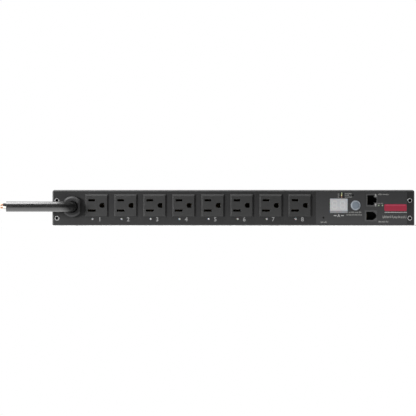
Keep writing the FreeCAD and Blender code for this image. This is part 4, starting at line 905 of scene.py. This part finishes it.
FLOOR_SIZE = 12.0              # half the floor's width, in metres
FLOOR_DROP = 0.05 * MM         # gap between the object and the floor
FLOOR_GLOW = 1.05              # how brightly the floor close to the object lights it
FLOOR_REACH = 0.040            # the floor glows this far in front of the panel
FLOOR_FADE = 0.10              # and is dark this much further out
SHADOW_END = 0.22              # the shadowed paper starts to turn white this far from the object
WHITE_FROM = 0.42              # and is white from here, with distances to the sides counted less
SIDE_COUNT = 0.62


def floor_paper():
    """Pale paper that shows the soft shadow near the object and is plain white further out. Only
    the strip close in front of the object lights it from below."""
    s = Shader("floor_paper", specular=0.1)
    base = s.mix(s.noise(60, 3), (0.84, 0.84, 0.84), (0.87, 0.87, 0.87))
    s.finish(base, 0.9, s.bump(s.noise(1.2, 2), 0.01))
    white = s.node("ShaderNodeEmission")
    chooser = s.node("ShaderNodeMixShader")
    seen = s.node("ShaderNodeLightPath").outputs["Is Camera Ray"]
    distance = s.node("ShaderNodeVectorMath", operation="LENGTH")
    s.set(distance, 0, s.stretched((SIDE_COUNT, 1.0, 1.0)))
    far = s.remap(distance.outputs["Value"], SHADOW_END, WHITE_FROM)
    front_y = PANEL_Y - FLOOR_REACH
    near = s.remap(s.axis("Y"), front_y - FLOOR_FADE, front_y)
    s.set(white, "Strength", s.mix_numbers(seen, s.math("MULTIPLY", near, FLOOR_GLOW), 1.0))
    s.set(chooser, 0, s.mix_numbers(seen, 1.0, far))
    s.tree.links.new(s.surface.outputs[0], chooser.inputs[1])
    s.tree.links.new(white.outputs[0], chooser.inputs[2])
    s.tree.links.new(chooser.outputs[0], s.tree.nodes["Material Output"].inputs["Surface"])
    return s.material


def build_floor():
    """A wide flat floor just under the object."""
    bm = bmesh.new()
    bmesh.ops.create_grid(bm, x_segments=2, y_segments=2, size=FLOOR_SIZE)
    floor = bpy.data.objects.new("floor", mesh_from("floor", bm))
    floor.location = (0, 0, BODY_LOW.z - FLOOR_DROP)
    bpy.context.scene.collection.objects.link(floor)
    floor.data.materials.append(floor_paper())


def build_lights():
    """A small key lamp low at the left, two soft boxes straight above and a weak lamp behind."""
    front = (-0.02, PANEL_Y, BODY_MID_Z)
    area_light("key", (-1.22, PANEL_Y - 0.92, 0.21), front, 24.5, 0.38, 0.38)
    area_light("overhead", (0.41, PANEL_Y - 0.18, 0.95), (0.41, PANEL_Y, 0.0), 3.7, 1.15, 0.50)
    area_light("strip", (-0.63, PANEL_Y - 0.02, 0.90), (-0.63, PANEL_Y - 0.02, 0.0), 10.5, 0.72, 0.90)
    area_light("back", (0.7, 1.2, 0.8), (0.0, 0.0, BODY_MID_Z), 5.0, 0.9, 0.6)


LENS = 280.0                   # focal length and sensor width, in the camera's millimetres
SENSOR = 36.0
PICTURE_WIDTH = 513.5 * MM     # what the picture spans at the front panel
PICTURE_X = -31.35 * MM        # its middle
PICTURE_Z = at(-0.4)


def build_camera():
    """Square on to the front through a long lens, the strip right of the picture's middle."""
    camera = bpy.data.cameras.new("camera")
    camera.lens = LENS
    camera.sensor_width = SENSOR
    camera.clip_end = 30.0
    holder = bpy.data.objects.new("camera", camera)
    holder.location = (PICTURE_X, PANEL_Y - PICTURE_WIDTH * LENS / SENSOR, PICTURE_Z)
    holder.rotation_euler = (math.pi / 2, 0, 0)
    bpy.context.scene.collection.objects.link(holder)
    bpy.context.scene.camera = holder


# ---------------------------------------------------------------- everything together
dress_frame()
ink_grey = printed_ink("ink_grey", (0.27, 0.27, 0.27))
ink_light = printed_ink("ink_light", (0.37, 0.37, 0.37))
ink_faint = printed_ink("ink_faint", (0.26, 0.26, 0.25))
outlet_numerals(ink_grey)
control_legends(ink_light, ink_faint)
maker_mark()
display_digits()
copper_strands()
for node in OUTLETS:
    soften(node, OUTLET_SOFTNESS)
for node, softness in SOFTNESS_MM.items():
    soften(node, softness)
build_world()
build_floor()
build_lights()
build_camera()
bpy.context.scene.view_settings.view_transform = "Standard"
